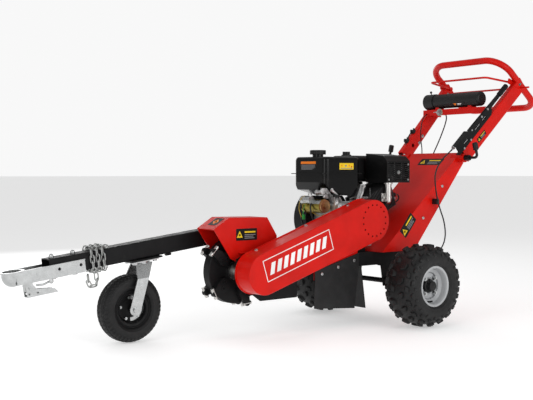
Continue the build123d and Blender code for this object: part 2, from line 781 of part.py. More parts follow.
def handle_base():
    """The folded red panel with its side flange, foot and pivot bosses."""
    low = (-113.0, RAIL_Z1 + DECK_T)
    high = (470.0, 853.0)
    panel = slab([low, high, (high[0] + 3, high[1] - 3.5), (low[0] + 6.2, low[1])], -190, 196)
    corners = [(-190, 350), (-190, 860), (196, 860), (196, 832), (75, 700), (75, 350)]
    mask = extrude(Plane.YZ.offset(-150) * make_face(Polyline(*corners, close=True)), 700)
    body = panel & mask
    side = [low, high, (486, 853), (500, 800), (149, 390), (138, low[1])]
    body += slab(side, -190, -186)
    body += slab([(low[0] + 3, low[1]), (289, 696), (330, 696), (138, low[1])], 71, 75)
    body += block(low[0] + 3, 138, -186, 75, low[1], low[1] + 4)
    body += slab([(436, 818), (472, 849), (486, 852), (500, 800), (440, 760)], 191, 195)
    for y0, y1 in ((-197, -152), (152, 197)):
        body += drum(24, y0, y1, PIVOT_X, PIVOT_Z)
    for x, z in BASE_BOLTS:
        body -= drum(BOLT_HOLE_R, -191, -185, x, z)
    return body - drum(8.05, -200, 200, PIVOT_X, PIVOT_Z)


def arm_frame(side):
    """Axes at the pivot: x up along the arm, z out of its front face, y to the right."""
    start = Vector(PIVOT_X, side * ARM_Y0, PIVOT_Z)
    end = Vector(ARM_X1, side * ARM_Y1, ARM_Z1)
    run = end - start
    front = Vector(0, 1, 0).cross(run) * -1
    return Plane(origin=start, x_dir=run, z_dir=front)


def arm_length():
    return math.dist((PIVOT_X, ARM_Y0, PIVOT_Z), (ARM_X1, ARM_Y1, ARM_Z1))


def handle_arm(side):
    length = arm_length() + 14
    outline = RectangleRounded(ARM_T, ARM_W, 5) - RectangleRounded(ARM_T - 6, ARM_W - 6, 2.5)
    tube = extrude(Plane.YZ.offset(12) * outline, length - 12)
    tube = arm_frame(side) * tube
    y0, y1 = sorted((side * (ARM_Y0 - 17), side * (ARM_Y0 + 17)))
    bore = drum(8.05, y0 - 1, y1 + 1, PIVOT_X, PIVOT_Z)
    body = tube + drum(24, y0, y1, PIVOT_X, PIVOT_Z) - bore
    if side > 0:
        body += arm_frame(side) * block(438, 462, -3, 3, ARM_W / 2 - 1, 66)
        body -= arm_frame(side) * Pos(110, 0, 0) * drum(11, -ARM_T, 0)
    body -= drum(BOLT_HOLE_R, -240, 240, *BAIL_PIVOT)
    return body - loop_solid(LOOP_R + 0.02)


def loop_solid(radius):
    (x0, z0), (x1, z1) = LOOP_FRONT, LOOP_REAR
    half = LOOP_HALF_W
    run = math.hypot(x1 - x0, z1 - z0)
    plane = Plane(origin=(x0, 0, z0), x_dir=(x1 - x0, 0, z1 - z0), z_dir=(z0 - z1, 0, x1 - x0))
    front_r = 112.0
    rear_r = 84.0
    edges = [
        Line((0, -half + front_r), (0, half - front_r)),
        TangentArc((0, half - front_r), (front_r, half), tangent=(0, 1)),
        Line((front_r, half), (run - rear_r, half)),
        TangentArc((run - rear_r, half), (run, half - rear_r), tangent=(1, 0)),
        Line((run, half - rear_r), (run, -half + rear_r)),
        TangentArc((run, -half + rear_r), (run - rear_r, -half), tangent=(0, -1)),
        Line((run - rear_r, -half), (front_r, -half)),
        TangentArc((front_r, -half), (0, -half + front_r), tangent=(-1, 0)),
    ]
    path = plane * Wire([edge.edge() for edge in edges])
    section = Plane(origin=path @ 0, z_dir=path % 0) * Circle(radius)
    return sweep(section, path=path)


def handle_loop():
    """The handlebar hoop, with the two pins that carry the bail."""
    body = loop_solid(LOOP_R) - loop_solid(LOOP_R - LOOP_WALL)
    for side in (-1, 1):
        y0, y1 = sorted((side * 219, side * 238))
        body += drum(4, y0, y1, *BAIL_PIVOT)
    return body


def cross_tray():
    half = 217.0
    body = block(640, 828, -half, half, 1100, 1103) + block(640, 643, -half, half, 1070, 1103)
    body += block(825, 828, -half, half, 1084, 1103)
    for y in (-110, 120):
        saddle = block(645, 690, y - 12, y + 12, 1102, 1126) - drum(TUBE_R, y - 20, y + 20, TUBE_X, TUBE_Z)
        body += max(saddle.solids(), key=lambda solid: solid.volume)
    body -= drum_x(11, 630, 650, 95, 1086)
    for side in (-1, 1):
        y0, y1 = sorted((side * (half - 4), side * (half + 1.5)))
        body += block(716, 790, y0, y1, 1070, 1103)
    return body


def drum_x(radius, x0, x1, y, z):
    """A cylinder along X."""
    return Pos((x0 + x1) / 2, y, z) * Rot(0, 90, 0) * Cylinder(radius, x1 - x0)


def bail():
    x_pivot, z_pivot = BAIL_PIVOT
    half = 226.0
    front = (677.0, 1262.0)
    points = [
        (x_pivot, -half, z_pivot), (x_pivot - 60, -half + 8, z_pivot + 6), (front[0], -195, front[1]),
        (front[0], 195, front[1]), (x_pivot - 60, half - 8, z_pivot + 6), (x_pivot, half, z_pivot),
    ]
    body = bent_rod(points, BAIL_R, 24)
    for side in (-1, 1):
        y0, y1 = sorted((side * (half - 6), side * (half + 6)))
        body += drum(11, y0, y1, x_pivot, z_pivot)
        body -= drum(4 + RUNNING_FIT, y0 - 1, y1 + 1, x_pivot, z_pivot)
    return body


def document_tube():
    body = drum(TUBE_R, -182, 203, TUBE_X, TUBE_Z)
    body = fillet(body.edges().filter_by(GeomType.CIRCLE).sort_by(Axis.Y)[0], 14)
    return body - drum(TUBE_R - 3, -176, 204, TUBE_X, TUBE_Z)


def tube_cap():
    body = drum(TUBE_R + 3.4, 140, 210, TUBE_X, TUBE_Z)
    body = fillet(body.edges().filter_by(GeomType.CIRCLE).sort_by(Axis.Y)[-1], 8)
    return body - drum(TUBE_R + 0.4, 139, 204, TUBE_X, TUBE_Z)


def brake_bracket():
    front = ARM_W / 2
    web = [
        (-20, front), (112, front), (300, front), (322, front + 20), (322, front + 48),
        (110, front + 56), (-20, front + 56),
    ]
    body = slab(web, -19, -16)
    body += block(-20, 300, -19, 10, front, front + 3) + block(-20, 104, -19, 10, front + 53, front + 56)
    for s0, s1 in ((40, 78), (150, 200), (225, 262)):
        body -= block(s0, s1, -20, -15, front + 16, front + 26)
    for s, n in ((25, 45), (91, 45), (232, 82), (294, 82)):
        body += drum(6, -23, -18, s, n)
    body += drum(5, -23, 6, 129, 79)
    body += Pos(-20, -4, front + 53) * drum_along_x(5, -14, 2)
    return arm_frame(-1) * body


def drum_along_x(radius, x0, x1):
    return Pos((x0 + x1) / 2, 0, 0) * Rot(0, 90, 0) * Cylinder(radius, x1 - x0)


def brake_lever():
    outline = [(112, 66), (150, 62), (430, 62), (430, 84), (150, 92), (112, 92)]
    bar = slab(outline, -12, -6) - drum(5 + RUNNING_FIT, -20, 20, 129, 79)
    grip = Pos(0, -9, 73) * drum_along_x(14, 420, 500)
    body = bar + fillet(grip.edges(), 4)
    return arm_frame(-1) * body


def throttle_lever():
    body = drum(9, 3.3, 9, 450, 54) + rod((450, 6, 58), (468, 6, 88), 2.6) + Pos(470, 6, 92) * Sphere(7)
    return arm_frame(1) * body


def clamp_knob(side):
    def span(a, b):
        return sorted((side * a, side * b))
    body = drum(8, *span(150, 236), PIVOT_X, PIVOT_Z) + drum(15, *span(232.3, 262), PIVOT_X, PIVOT_Z)
    crank = [
        (PIVOT_X, side * 255, PIVOT_Z), (PIVOT_X, side * 312, PIVOT_Z), (PIVOT_X, side * 300, PIVOT_Z + 52),
    ]
    body += bent_rod(crank, 7, 14)
    grip = rod((PIVOT_X, side * 303, PIVOT_Z + 38), (PIVOT_X, side * 294, PIVOT_Z + 78), 14)
    return body + fillet(grip.edges(), 6)


def ignition_key():
    barrel = drum_x(10.6, 622, 662, 95, 1086) + drum_x(15, 632, 639.6, 95, 1086)
    bow = block(600, 622, 83, 107, 1084, 1088, 1.5)
    return barrel + bow


def brake_cable():
    """Outer cable from the brake bracket, over the pivot, down inside the left wheel."""
    radius = 3.5
    points = [
        (374.4, -217, 868), (338, -224, 848), (262, -240, 812), (205, -246, 745), (222, -240, 655),
        (280, -214, 570), (330, -208, 490), (318, -226, 400), (240, -240, 330), (140, -246, 296),
        (40, -249, 284),
    ]
    radii = cord_radii(points)
    path = FilletPolyline(*points, radius=radii)
    section = Plane(origin=path @ 0, z_dir=path % 0) * Circle(radius)
    return sweep(section, path=path)


def cord_radii(points):
    """The largest arc that each corner's two runs allow."""
    radii = []
    for before, here, after in zip(points, points[1:], points[2:]):
        first = Vector(*here) - Vector(*before)
        second = Vector(*after) - Vector(*here)
        turn = math.radians(first.get_angle(second))
        radii.append(0.45 * min(first.length, second.length) / math.tan(turn / 2))
    return radii


NODES = {
    "frame_rails": frame_rails,
    "engine_deck": engine_deck,
    "rotor_housing": rotor_housing,
    "tow_bar": tow_bar,
    "coupler_body": coupler_body,
    "coupler_latch": coupler_latch,
    "safety_chains": safety_chains,
    "caster_mount": caster_mount,
    "caster_fork": caster_fork,
    "caster_rim": caster_rim,
    "caster_tyre": caster_tyre,
    "rear_axle": rear_axle,
    "brake_backplate": brake_backplate,
    "belt_backplate": belt_backplate,
    "belt_cover": belt_cover,
    "cover_screws": cover_screws,
    "lower_pulley": lower_pulley,
    "upper_pulley": upper_pulley,
    "drive_belts": drive_belts,
    "rotor_shaft": rotor_shaft,
    "rotor_bearings": rotor_bearings,
    "cutter_disc": cutter_disc,
    "tooth_pockets": tooth_pockets,
    "cutter_teeth": cutter_teeth,
    "cutter_guard": cutter_guard,
    "flap_side": flap_side,
    "flap_rear": flap_rear,
    "frame_bolts": frame_bolts,
    "crankcase": crankcase,
    "cylinder_block": cylinder_block,
    "fuel_tank": fuel_tank,
    "fuel_cap": fuel_cap,
    "air_cleaner": air_cleaner,
    "muffler": muffler,
    "exhaust_pipe": exhaust_pipe,
    "recoil_housing": recoil_housing,
    "recoil_grip": recoil_grip,
    "starter_motor": starter_motor,
    "handle_base": handle_base,
    "handle_arms": lambda: together([handle_arm(-1), handle_arm(1)]),
    "handle_loop": handle_loop,
    "cross_tray": cross_tray,
    "bail": bail,
    "document_tube": document_tube,
    "tube_cap": tube_cap,
    "brake_bracket": brake_bracket,
    "brake_lever": brake_lever,
    "throttle_lever": throttle_lever,
    "clamp_knob_left": lambda: clamp_knob(-1),
    "clamp_knob_right": lambda: clamp_knob(1),
    "ignition_key": ignition_key,
    "brake_cable": brake_cable,
}

for side_name, side in (("left", -1), ("right", 1)):
    NODES["tyre_" + side_name] = lambda side=side: wheel_place(side) * tyre()
    NODES["rim_" + side_name] = lambda side=side: wheel_place(side) * rim()
    NODES["hub_" + side_name] = lambda side=side: wheel_place(side) * hub(side < 0)
    NODES["hub_cap_" + side_name] = lambda side=side: wheel_place(side) * hub_cap()

os.makedirs("parts", exist_ok=True)
for name, make in NODES.items():
    export_step(Pos(REAR_AXLE_X, 0, 0) * make(), "parts/" + name + ".step")
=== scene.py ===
import bmesh
import bpy
import json
import math
from mathutils import Matrix, Vector


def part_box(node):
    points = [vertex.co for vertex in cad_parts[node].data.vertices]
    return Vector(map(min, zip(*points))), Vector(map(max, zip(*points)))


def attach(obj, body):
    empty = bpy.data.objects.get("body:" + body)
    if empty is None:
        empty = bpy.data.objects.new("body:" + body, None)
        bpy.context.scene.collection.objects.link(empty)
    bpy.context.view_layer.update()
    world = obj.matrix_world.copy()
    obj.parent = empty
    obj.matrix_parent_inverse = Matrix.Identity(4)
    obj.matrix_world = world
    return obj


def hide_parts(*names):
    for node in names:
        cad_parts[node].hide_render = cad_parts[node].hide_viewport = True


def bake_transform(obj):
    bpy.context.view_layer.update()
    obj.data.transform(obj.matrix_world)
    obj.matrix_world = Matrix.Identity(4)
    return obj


# Metres, in the CAD frame: +X to the rear, +Y away from the belt cover, +Z up.
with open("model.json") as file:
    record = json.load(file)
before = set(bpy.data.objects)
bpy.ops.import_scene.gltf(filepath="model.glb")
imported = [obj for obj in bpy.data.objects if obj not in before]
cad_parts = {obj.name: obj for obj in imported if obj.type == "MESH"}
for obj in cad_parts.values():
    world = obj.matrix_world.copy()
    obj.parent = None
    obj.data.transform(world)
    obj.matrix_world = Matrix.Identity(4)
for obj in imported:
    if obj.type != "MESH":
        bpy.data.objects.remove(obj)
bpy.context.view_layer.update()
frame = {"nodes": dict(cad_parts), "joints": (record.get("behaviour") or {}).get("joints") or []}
JOINTS = {joint["name"]: joint for joint in frame["joints"]}
X = Vector((1, 0, 0))
Y = Vector((0, 1, 0))
Z = Vector((0, 0, 1))


# ---- camera ----

def place_camera():
    """A long lens near the ground, in front of the machine and to its left."""
    heading = math.radians(38.956)
    fall = math.radians(1.635)
    forward = Vector((
        math.sin(heading) * math.cos(fall), math.cos(heading) * math.cos(fall), -math.sin(fall)
    ))
    data = bpy.data.cameras.new("camera")
    data.lens = 63.57
    data.sensor_width = 36.0
    camera = bpy.data.objects.new("camera", data)
    camera.location = (-3.0226, -3.4157, 0.7452)
    camera.rotation_mode = "QUATERNION"
    camera.rotation_quaternion = forward.to_track_quat("-Z", "Y")
    bpy.context.collection.objects.link(camera)
    bpy.context.scene.camera = camera


place_camera()


# ---- materials ----

class Nodes:
    """A short way to build a material's node tree."""

    def __init__(self, name):
        self.material = bpy.data.materials.new(name)
        self.material.use_nodes = True
        self.tree = self.material.node_tree
        self.shader = self.tree.nodes["Principled BSDF"]
        self.where = self.add("ShaderNodeTexCoord").outputs["Object"]

    def add(self, kind, **values):
        node = self.tree.nodes.new(kind)
        for key, value in values.items():
            setattr(node, key, value)
        return node

    def link(self, start, end):
        self.tree.links.new(start, end)

    def noise(self, scale, detail=4.0, stretch=(1, 1, 1)):
        """Noise of about 0 to 1 with features of 1 / scale metres."""
        mapping = self.add("ShaderNodeMapping")
        mapping.inputs["Scale"].default_value = stretch
        noise = self.add("ShaderNodeTexNoise")
        noise.inputs["Scale"].default_value = scale
        noise.inputs["Detail"].default_value = detail
        self.link(self.where, mapping.inputs["Vector"])
        self.link(mapping.outputs["Vector"], noise.inputs["Vector"])
        return noise.outputs["Fac"]

    def ramp(self, factor, low, high, start=0.0, end=1.0):
        """factor between low and high, spread from start to end."""
        node = self.add("ShaderNodeMapRange")
        node.inputs["From Min"].default_value = low
        node.inputs["From Max"].default_value = high
        node.inputs["To Min"].default_value = start
        node.inputs["To Max"].default_value = end
        self.link(factor, node.inputs["Value"])
        return node.outputs["Result"]

    def times(self, a, b):
        node = self.add("ShaderNodeMath", operation="MULTIPLY")
        self.link(a, node.inputs[0])
        self.link(b, node.inputs[1])
        return node.outputs["Value"]

    def mix(self, factor, a, b):
        """Colour a where factor is 0 and colour b where it is 1; a and b are colours or sockets."""
        node = self.add("ShaderNodeMix", data_type="RGBA")
        self.link(factor, node.inputs["Factor"])
        for socket, value in ((node.inputs["A"], a), (node.inputs["B"], b)):
            if isinstance(value, bpy.types.NodeSocket):
                self.link(value, socket)
            else:
                socket.default_value = (*value, 1)
        return node.outputs["Result"]

    def edges(self, radius):
        """1 on sharp edges and 0 on flat faces."""
        bevel = self.add("ShaderNodeBevel", samples=4)
        bevel.inputs["Radius"].default_value = radius
        normal = self.add("ShaderNodeNewGeometry").outputs["Normal"]
        dot = self.add("ShaderNodeVectorMath", operation="DOT_PRODUCT")
        self.link(bevel.outputs["Normal"], dot.inputs[0])
        self.link(normal, dot.inputs[1])
        return self.ramp(dot.outputs["Value"], 0.97, 0.8)

    def bump(self, height, distance, strength=1.0):
        node = self.add("ShaderNodeBump")
        node.inputs["Distance"].default_value = distance
        node.inputs["Strength"].default_value = strength
        self.link(height, node.inputs["Height"])
        self.link(node.outputs["Normal"], self.shader.inputs["Normal"])


def tint(colour, factor):
    return tuple(min(1.0, channel * factor) for channel in colour)


def paint(name, colour, roughness, coat=0.0, wear=(0.3, 0.3, 0.3), wear_amount=0.35):
    """Sprayed paint: orange peel, slight mottling, dust in patches and rubbed edges."""
    nodes = Nodes(name)
    shade = nodes.mix(nodes.ramp(nodes.noise(9), 0.35, 0.65), tint(colour, 0.9), tint(colour, 1.06))
    rubbed = nodes.times(nodes.edges(0.0018), nodes.ramp(nodes.noise(60), 0.45, 0.75, 0.0, wear_amount))
    colour_out = nodes.mix(rubbed, shade, wear)
    dust = nodes.ramp(nodes.noise(26, 8), 0.6, 0.85, 0.0, 0.025)
    nodes.link(nodes.mix(dust, colour_out, (0.42, 0.38, 0.33)), nodes.shader.inputs["Base Color"])
    rough = nodes.ramp(nodes.noise(35), 0.3, 0.7, roughness * 0.85, roughness * 1.2)
    nodes.link(rough, nodes.shader.inputs["Roughness"])
    nodes.shader.inputs["Coat Weight"].default_value = coat
    nodes.shader.inputs["Coat Roughness"].default_value = 0.12
    nodes.shader.inputs["Specular IOR Level"].default_value = 0.16
    nodes.bump(nodes.noise(420, 2), 0.0004, 0.25)
    return nodes.material


def metal(name, colour, roughness, streak=(1, 1, 1), bump=0.0002, spots=0.3):
    """Bare or plated metal: fine brushing, cloudy plating and spots of grime."""
    nodes = Nodes(name)
    cloud = nodes.ramp(nodes.noise(30, 6), 0.35, 0.7, 0.0, 1.0)
    shade = nodes.mix(cloud, tint(colour, 0.88), tint(colour, 1.05))
    grime = nodes.ramp(nodes.noise(70, 8), 0.58, 0.8, 0.0, spots)
    nodes.link(nodes.mix(grime, shade, tint(colour, 0.35)), nodes.shader.inputs["Base Color"])
    nodes.shader.inputs["Metallic"].default_value = 1.0
    fine = nodes.noise(500, 3, streak)
    nodes.link(nodes.ramp(fine, 0.3, 0.7, roughness * 0.75, roughness * 1.3),
               nodes.shader.inputs["Roughness"])
    nodes.bump(fine, bump, 0.4)
    return nodes.material


def rubber(name, colour, roughness=0.62, grain=900.0, dust=0.2):
    """Moulded rubber with a fine grain and dust caught in it."""
    nodes = Nodes(name)
    shade = nodes.mix(nodes.ramp(nodes.noise(14, 5), 0.35, 0.7), tint(colour, 0.75), tint(colour, 1.35))
    dusty = nodes.ramp(nodes.noise(38, 8), 0.5, 0.85, 0.0, dust)
    nodes.link(nodes.mix(dusty, shade, (0.05, 0.047, 0.043)), nodes.shader.inputs["Base Color"])
    nodes.link(nodes.ramp(nodes.noise(80), 0.3, 0.7, roughness * 0.85, roughness * 1.15),
               nodes.shader.inputs["Roughness"])
    nodes.shader.inputs["Specular IOR Level"].default_value = 0.3
    nodes.bump(nodes.noise(grain, 3), 0.0004, 0.5)
    return nodes.material


def casting(name, colour, roughness=0.45, metallic=1.0):
    """Rough cast metal."""
    nodes = Nodes(name)
    shade = nodes.mix(nodes.ramp(nodes.noise(45, 6), 0.3, 0.7), tint(colour, 0.6), tint(colour, 1.15))
    nodes.link(shade, nodes.shader.inputs["Base Color"])
    nodes.shader.inputs["Metallic"].default_value = metallic
    nodes.link(nodes.ramp(nodes.noise(60), 0.3, 0.7, roughness * 0.8, roughness * 1.3),
               nodes.shader.inputs["Roughness"])
    nodes.bump(nodes.noise(650, 4), 0.0006, 0.6)
    return nodes.material


RED = (0.60, 0.006, 0.002)
MATERIALS = {
    "red": paint("red_paint", RED, 0.34, 0.03, wear=(0.26, 0.02, 0.012)),
    "black": paint("black_paint", (0.006, 0.006, 0.0065), 0.5, 0.0, wear=(0.05, 0.05, 0.05)),
    "gloss_black": paint("gloss_black_paint", (0.002, 0.002, 0.0022), 0.2, 0.08, wear=(0.06, 0.06, 0.06)),
    "rotor_black": paint("rotor_paint", (0.007, 0.007, 0.0075), 0.42, 0.0, wear=(0.2, 0.19, 0.18)),
    "heat_black": paint("heat_paint", (0.004, 0.004, 0.0042), 0.4, 0.05, wear=(0.4, 0.4, 0.4),
                        wear_amount=0.7),
    "silver": paint("silver_paint", (0.42, 0.43, 0.44), 0.3, 0.1, wear=(0.7, 0.7, 0.7)),
    "white": paint("white_print", (0.86, 0.86, 0.85), 0.35),
    "yellow": paint("yellow_print", (0.85, 0.58, 0.02), 0.4),
    "orange": paint("orange_print", (0.85, 0.2, 0.01), 0.4),
    "grey": paint("grey_print", (0.25, 0.25, 0.26), 0.45),
    "label_black": paint("label_black", (0.006, 0.0055, 0.005), 0.45),
    "zinc": metal("zinc_plate", (0.50, 0.51, 0.51), 0.28, spots=0.2),
    "galvanised": metal("galvanised", (0.40, 0.41, 0.40), 0.34, bump=0.0003, spots=0.1),
    "steel": metal("bare_steel", (0.6, 0.59, 0.57), 0.32, streak=(1, 8, 1)),
    "brass": metal("yellow_passivate", (0.30, 0.235, 0.05), 0.3, spots=0.5),
    "copper": metal("copper_band", (0.48, 0.28, 0.13), 0.3, spots=0.5),
    "aluminium": casting("cast_aluminium", (0.62, 0.62, 0.62), 0.42),
    "black_casting": casting("black_casting", (0.05, 0.05, 0.052), 0.42, 0.6),
    "iron": casting("cast_iron", (0.06, 0.06, 0.06), 0.5, 0.8),
    "tyre": rubber("tyre_rubber", (0.006, 0.006, 0.0063), 0.5),
    "flap": rubber("flap_rubber", (0.011, 0.011, 0.0115), 0.5, 300.0, 0.12),
    "plastic": rubber("black_plastic", (0.005, 0.005, 0.0053), 0.42, 1400.0, 0.05),
    "sheath": rubber("cable_sheath", (0.008, 0.008, 0.008), 0.4, 800.0, 0.05),
    "green": rubber("green_wire", (0.02, 0.3, 0.04), 0.4, 800.0, 0.05),
    "yellow_wire": rubber("yellow_wire", (0.5, 0.34, 0.03), 0.4, 800.0, 0.05),
    "beige": rubber("beige_plastic", (0.32, 0.29, 0.22), 0.4, 1200.0, 0.05),
}

NODE_FINISH = {
    "red": ["belt_cover", "belt_backplate", "cutter_guard", "handle_base", "handle_arms", "handle_loop",
            "cross_tray", "bail"],
    "black": ["frame_rails", "engine_deck", "rotor_housing", "tow_bar", "rear_axle", "caster_rim",
              "recoil_housing", "brake_bracket", "brake_lever", "throttle_lever"],
    "gloss_black": ["fuel_tank"],
    "heat_black": ["muffler"],
    "rotor_black": ["cutter_disc", "tooth_pockets"],
    "zinc": ["coupler_body", "coupler_latch", "caster_mount", "caster_fork", "cover_screws", "frame_bolts",
             "brake_backplate", "hub_left", "hub_right", "ignition_key"],
    "galvanised": ["safety_chains"],
    "steel": ["rotor_shaft", "cutter_teeth", "exhaust_pipe"],
    "brass": ["starter_motor"],
    "aluminium": ["crankcase"],
    "black_casting": ["cylinder_block"],
    "iron": ["lower_pulley", "upper_pulley", "rotor_bearings"],
    "silver": ["rim_left", "rim_right"],
    "tyre": ["drive_belts"],
    "flap": ["flap_side", "flap_rear"],
    "plastic": ["fuel_cap", "air_cleaner", "recoil_grip", "document_tube", "tube_cap", "clamp_knob_left",
                "clamp_knob_right", "hub_cap_left", "hub_cap_right"],
}


def finish_nodes():
    for finish, nodes in NODE_FINISH.items():
        for node in nodes:
            mesh = frame["nodes"][node].data
            mesh.materials.clear()
            mesh.materials.append(MATERIALS[finish])


def repaint(node, finish, test):
    """Gives another finish to the faces of a CAD node whose middle passes the test."""
    mesh = frame["nodes"][node].data
    mesh.materials.append(MATERIALS[finish])
    number = len(mesh.materials) - 1
    for face in mesh.polygons:
        if test(face.center):
            face.material_index = number


finish_nodes()


# ---- building pieces ----

def make_piece(name, bm, finishes, body, smooth=True):
    """Turns a bmesh into an object that rides on a body. Its material indices count through finishes."""
    mesh = bpy.data.meshes.new(name)
    bmesh.ops.recalc_face_normals(bm, faces=bm.faces)
    bm.to_mesh(mesh)
    bm.free()
    for finish in finishes:
        mesh.materials.append(MATERIALS[finish])
    piece = bpy.data.objects.new(name, mesh)
    bpy.context.collection.objects.link(piece)
    if smooth:
        for face in mesh.polygons:
            face.use_smooth = True
        mesh.set_sharp_from_angle(angle=math.radians(35))
    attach(piece, body)
    return piece


def axes(origin, x_axis, z_axis):
    """A frame at origin with its x along x_axis and its z as near z_axis as a right angle lets it be."""
    x_axis = Vector(x_axis).normalized()
    y_axis = Vector(z_axis).cross(x_axis).normalized()
    z_axis = x_axis.cross(y_axis)
    matrix = Matrix((x_axis, y_axis, z_axis)).transposed().to_4x4()
    matrix.translation = Vector(origin)
    return matrix


def add_turned(bm, place, profile, steps=32, material=0):
    """Turns (radius, height) points about the z axis of place; closed at each end that lies on the axis."""
    rings = []
    for radius, height in profile:
        if radius < 1e-6:
            rings.append([bm.verts.new(place @ Vector((0, 0, height)))])
            continue
        ring = []
        for step in range(steps):
            angle = 2 * math.pi * step / steps
            point = Vector((radius * math.cos(angle), radius * math.sin(angle), height))
            ring.append(bm.verts.new(place @ point))
        rings.append(ring)
    for low, high in zip(rings, rings[1:]):
        for step in range(steps):
            after = (step + 1) % steps
            corners = [low[step % len(low)], low[after % len(low)], high[after % len(high)],
                       high[step % len(high)]]
            corners = list(dict.fromkeys(corners))
            face = bm.faces.new(corners)
            face.material_index = material


def add_prism(bm, place, outline, low, high, chamfer=0.0, material=0):
    """A plate with an outline in x and y of place, between heights low and high, its top edge chamfered."""
    middle = sum((Vector(point) for point in outline), Vector((0, 0))) / len(outline)
    levels = [(low, 0.0), (high - chamfer, 0.0), (high, chamfer)] if chamfer else [(low, 0.0), (high, 0.0)]
    rings = []
    for height, inset in levels:
        ring = []
        for point in outline:
            flat = Vector(point)
            away = middle - flat
            if inset:
                flat = flat + away.normalized() * min(inset * 1.4, away.length * 0.5)
            ring.append(bm.verts.new(place @ Vector((flat.x, flat.y, height))))
        rings.append(ring)
    count = len(outline)
    for first, second in zip(rings, rings[1:]):
        for number in range(count):
            after = (number + 1) % count
            face = bm.faces.new([first[number], first[after], second[after], second[number]])
            face.material_index = material
    for ring in (rings[0], rings[-1]):
        face = bm.faces.new(ring)
        face.material_index = material


def rounded(width, height, corner, steps=4):
    """A rectangle's outline about the origin, with round corners."""
    points = []
    for quarter, (sx, sy) in enumerate(((1, 1), (-1, 1), (-1, -1), (1, -1))):
        for step in range(steps + 1):
            angle = math.pi / 2 * (quarter + step / steps)
            x = sx * (width / 2 - corner) + corner * math.cos(angle)
            y = sy * (height / 2 - corner) + corner * math.sin(angle)
            points.append((x, y))
    return points


def disc(radius, steps=16):
    return [(radius * math.cos(2 * math.pi * n / steps), radius * math.sin(2 * math.pi * n / steps))
            for n in range(steps)]


def add_hex_bolt(bm, place, across=0.010, height=0.005, material=0):
    """A hexagon head on a washer, standing along z of place."""
    add_prism(bm, place, disc(across * 0.78, 24), 0.0, height * 0.25, 0.0002, material)
    outline = [(across / math.sqrt(3) * math.cos(math.pi / 3 * n),
                across / math.sqrt(3) * math.sin(math.pi / 3 * n))
               for n in range(6)]
    add_prism(bm, place, outline, height * 0.25, height, height * 0.15, material)


def smooth_line(points, name="line"):
    """Points read along a smooth spline that the given points steer."""
    curve = bpy.data.curves.new(name, "CURVE")
    curve.dimensions = "3D"
    spline = curve.splines.new("NURBS")
    spline.points.add(len(points) - 1)
    for spot, point in zip(spline.points, points):
        spot.co = (*point, 1)
    spline.order_u = 3
    spline.use_endpoint_u = True
    spline.resolution_u = 10
    holder = bpy.data.objects.new(name, curve)
    mesh = bpy.data.meshes.new_from_object(holder)
    line = [vertex.co.copy() for vertex in mesh.vertices]
    bpy.data.objects.remove(holder)
    bpy.data.curves.remove(curve)
    bpy.data.meshes.remove(mesh)
    return line


def add_tube(bm, line, radius, steps=12, material=0):
    """A round tube along a line of points, with closed ends. radius is a number or a function of 0 to 1."""
    width = radius if callable(radius) else lambda fraction: radius
    side = Z if abs((line[1] - line[0]).normalized().z) < 0.9 else X
    rings = []
    for number, point in enumerate(line):
        before = line[max(number - 1, 0)]
        after = line[min(number + 1, len(line) - 1)]
        along = (after - before).normalized()
        side = (side - along * side.dot(along)).normalized()
        other = along.cross(side)
        ring = []
        for step in range(steps):
            angle = 2 * math.pi * step / steps
            offset = side * math.cos(angle) + other * math.sin(angle)
            ring.append(bm.verts.new(point + offset * width(number / (len(line) - 1))))
        rings.append(ring)
    for first, second in zip(rings, rings[1:]):
        for step in range(steps):
            after = (step + 1) % steps
            face = bm.faces.new([first[step], first[after], second[after], second[step]])
            face.material_index = material
    for ring in (rings[0], rings[-1]):
        face = bm.faces.new(ring)
        face.material_index = material


def cable(name, points, radius, body, finish="sheath"):
    bm = bmesh.new()
    add_tube(bm, smooth_line([Vector(point) for point in points]), radius)
    return make_piece(name, bm, [finish], body)


# ---- tyres ----

def wheel_axes(joint):
    """A frame at a wheel's middle, with z along its axle."""
    return axes(JOINTS[joint]["pos_m"], X, Vector(JOINTS[joint]["axis"]))


class TyreShape:
    """The section of a tyre carcass: position 0 is the crown, and 1 and -1 are the two beads."""

    def __init__(self, middle_r, half_height, half_width, power, reach):
        self.middle_r = middle_r
        self.half_height = half_height
        self.half_width = half_width
        self.power = power
        self.reach = math.radians(reach)

    def at(self, position, height=0.0):
        """(radius, y) at a height above the carcass."""
        angle = position * self.reach
        bend = 2.0 / self.power
        y = self.half_width * math.copysign(abs(math.sin(angle)) ** bend, math.sin(angle))
        radius = self.middle_r + self.half_height * math.copysign(abs(math.cos(angle)) ** bend,
                math.cos(angle))
        out_y = math.sin(angle)
        out_r = math.cos(angle)
        return radius + out_r * height, y + out_y * height


def on_wheel(place, radius, angle, y):
    return place @ Vector((radius * math.cos(angle), radius * math.sin(angle), y))


def add_carcass(bm, place, shape, ribs, beads, steps=96):
    """The tyre's smooth body. ribs maps a position to a height; beads closes it towards the rim."""
    profile = []
    count = 56
    for number in range(count + 1):
        position = 2 * number / count - 1
        profile.append(shape.at(position, ribs(position)))
    ends = [(radius, -y) for radius, y in beads]
    profile = ends + profile + list(reversed(beads))
    add_turned(bm, place, profile, steps)


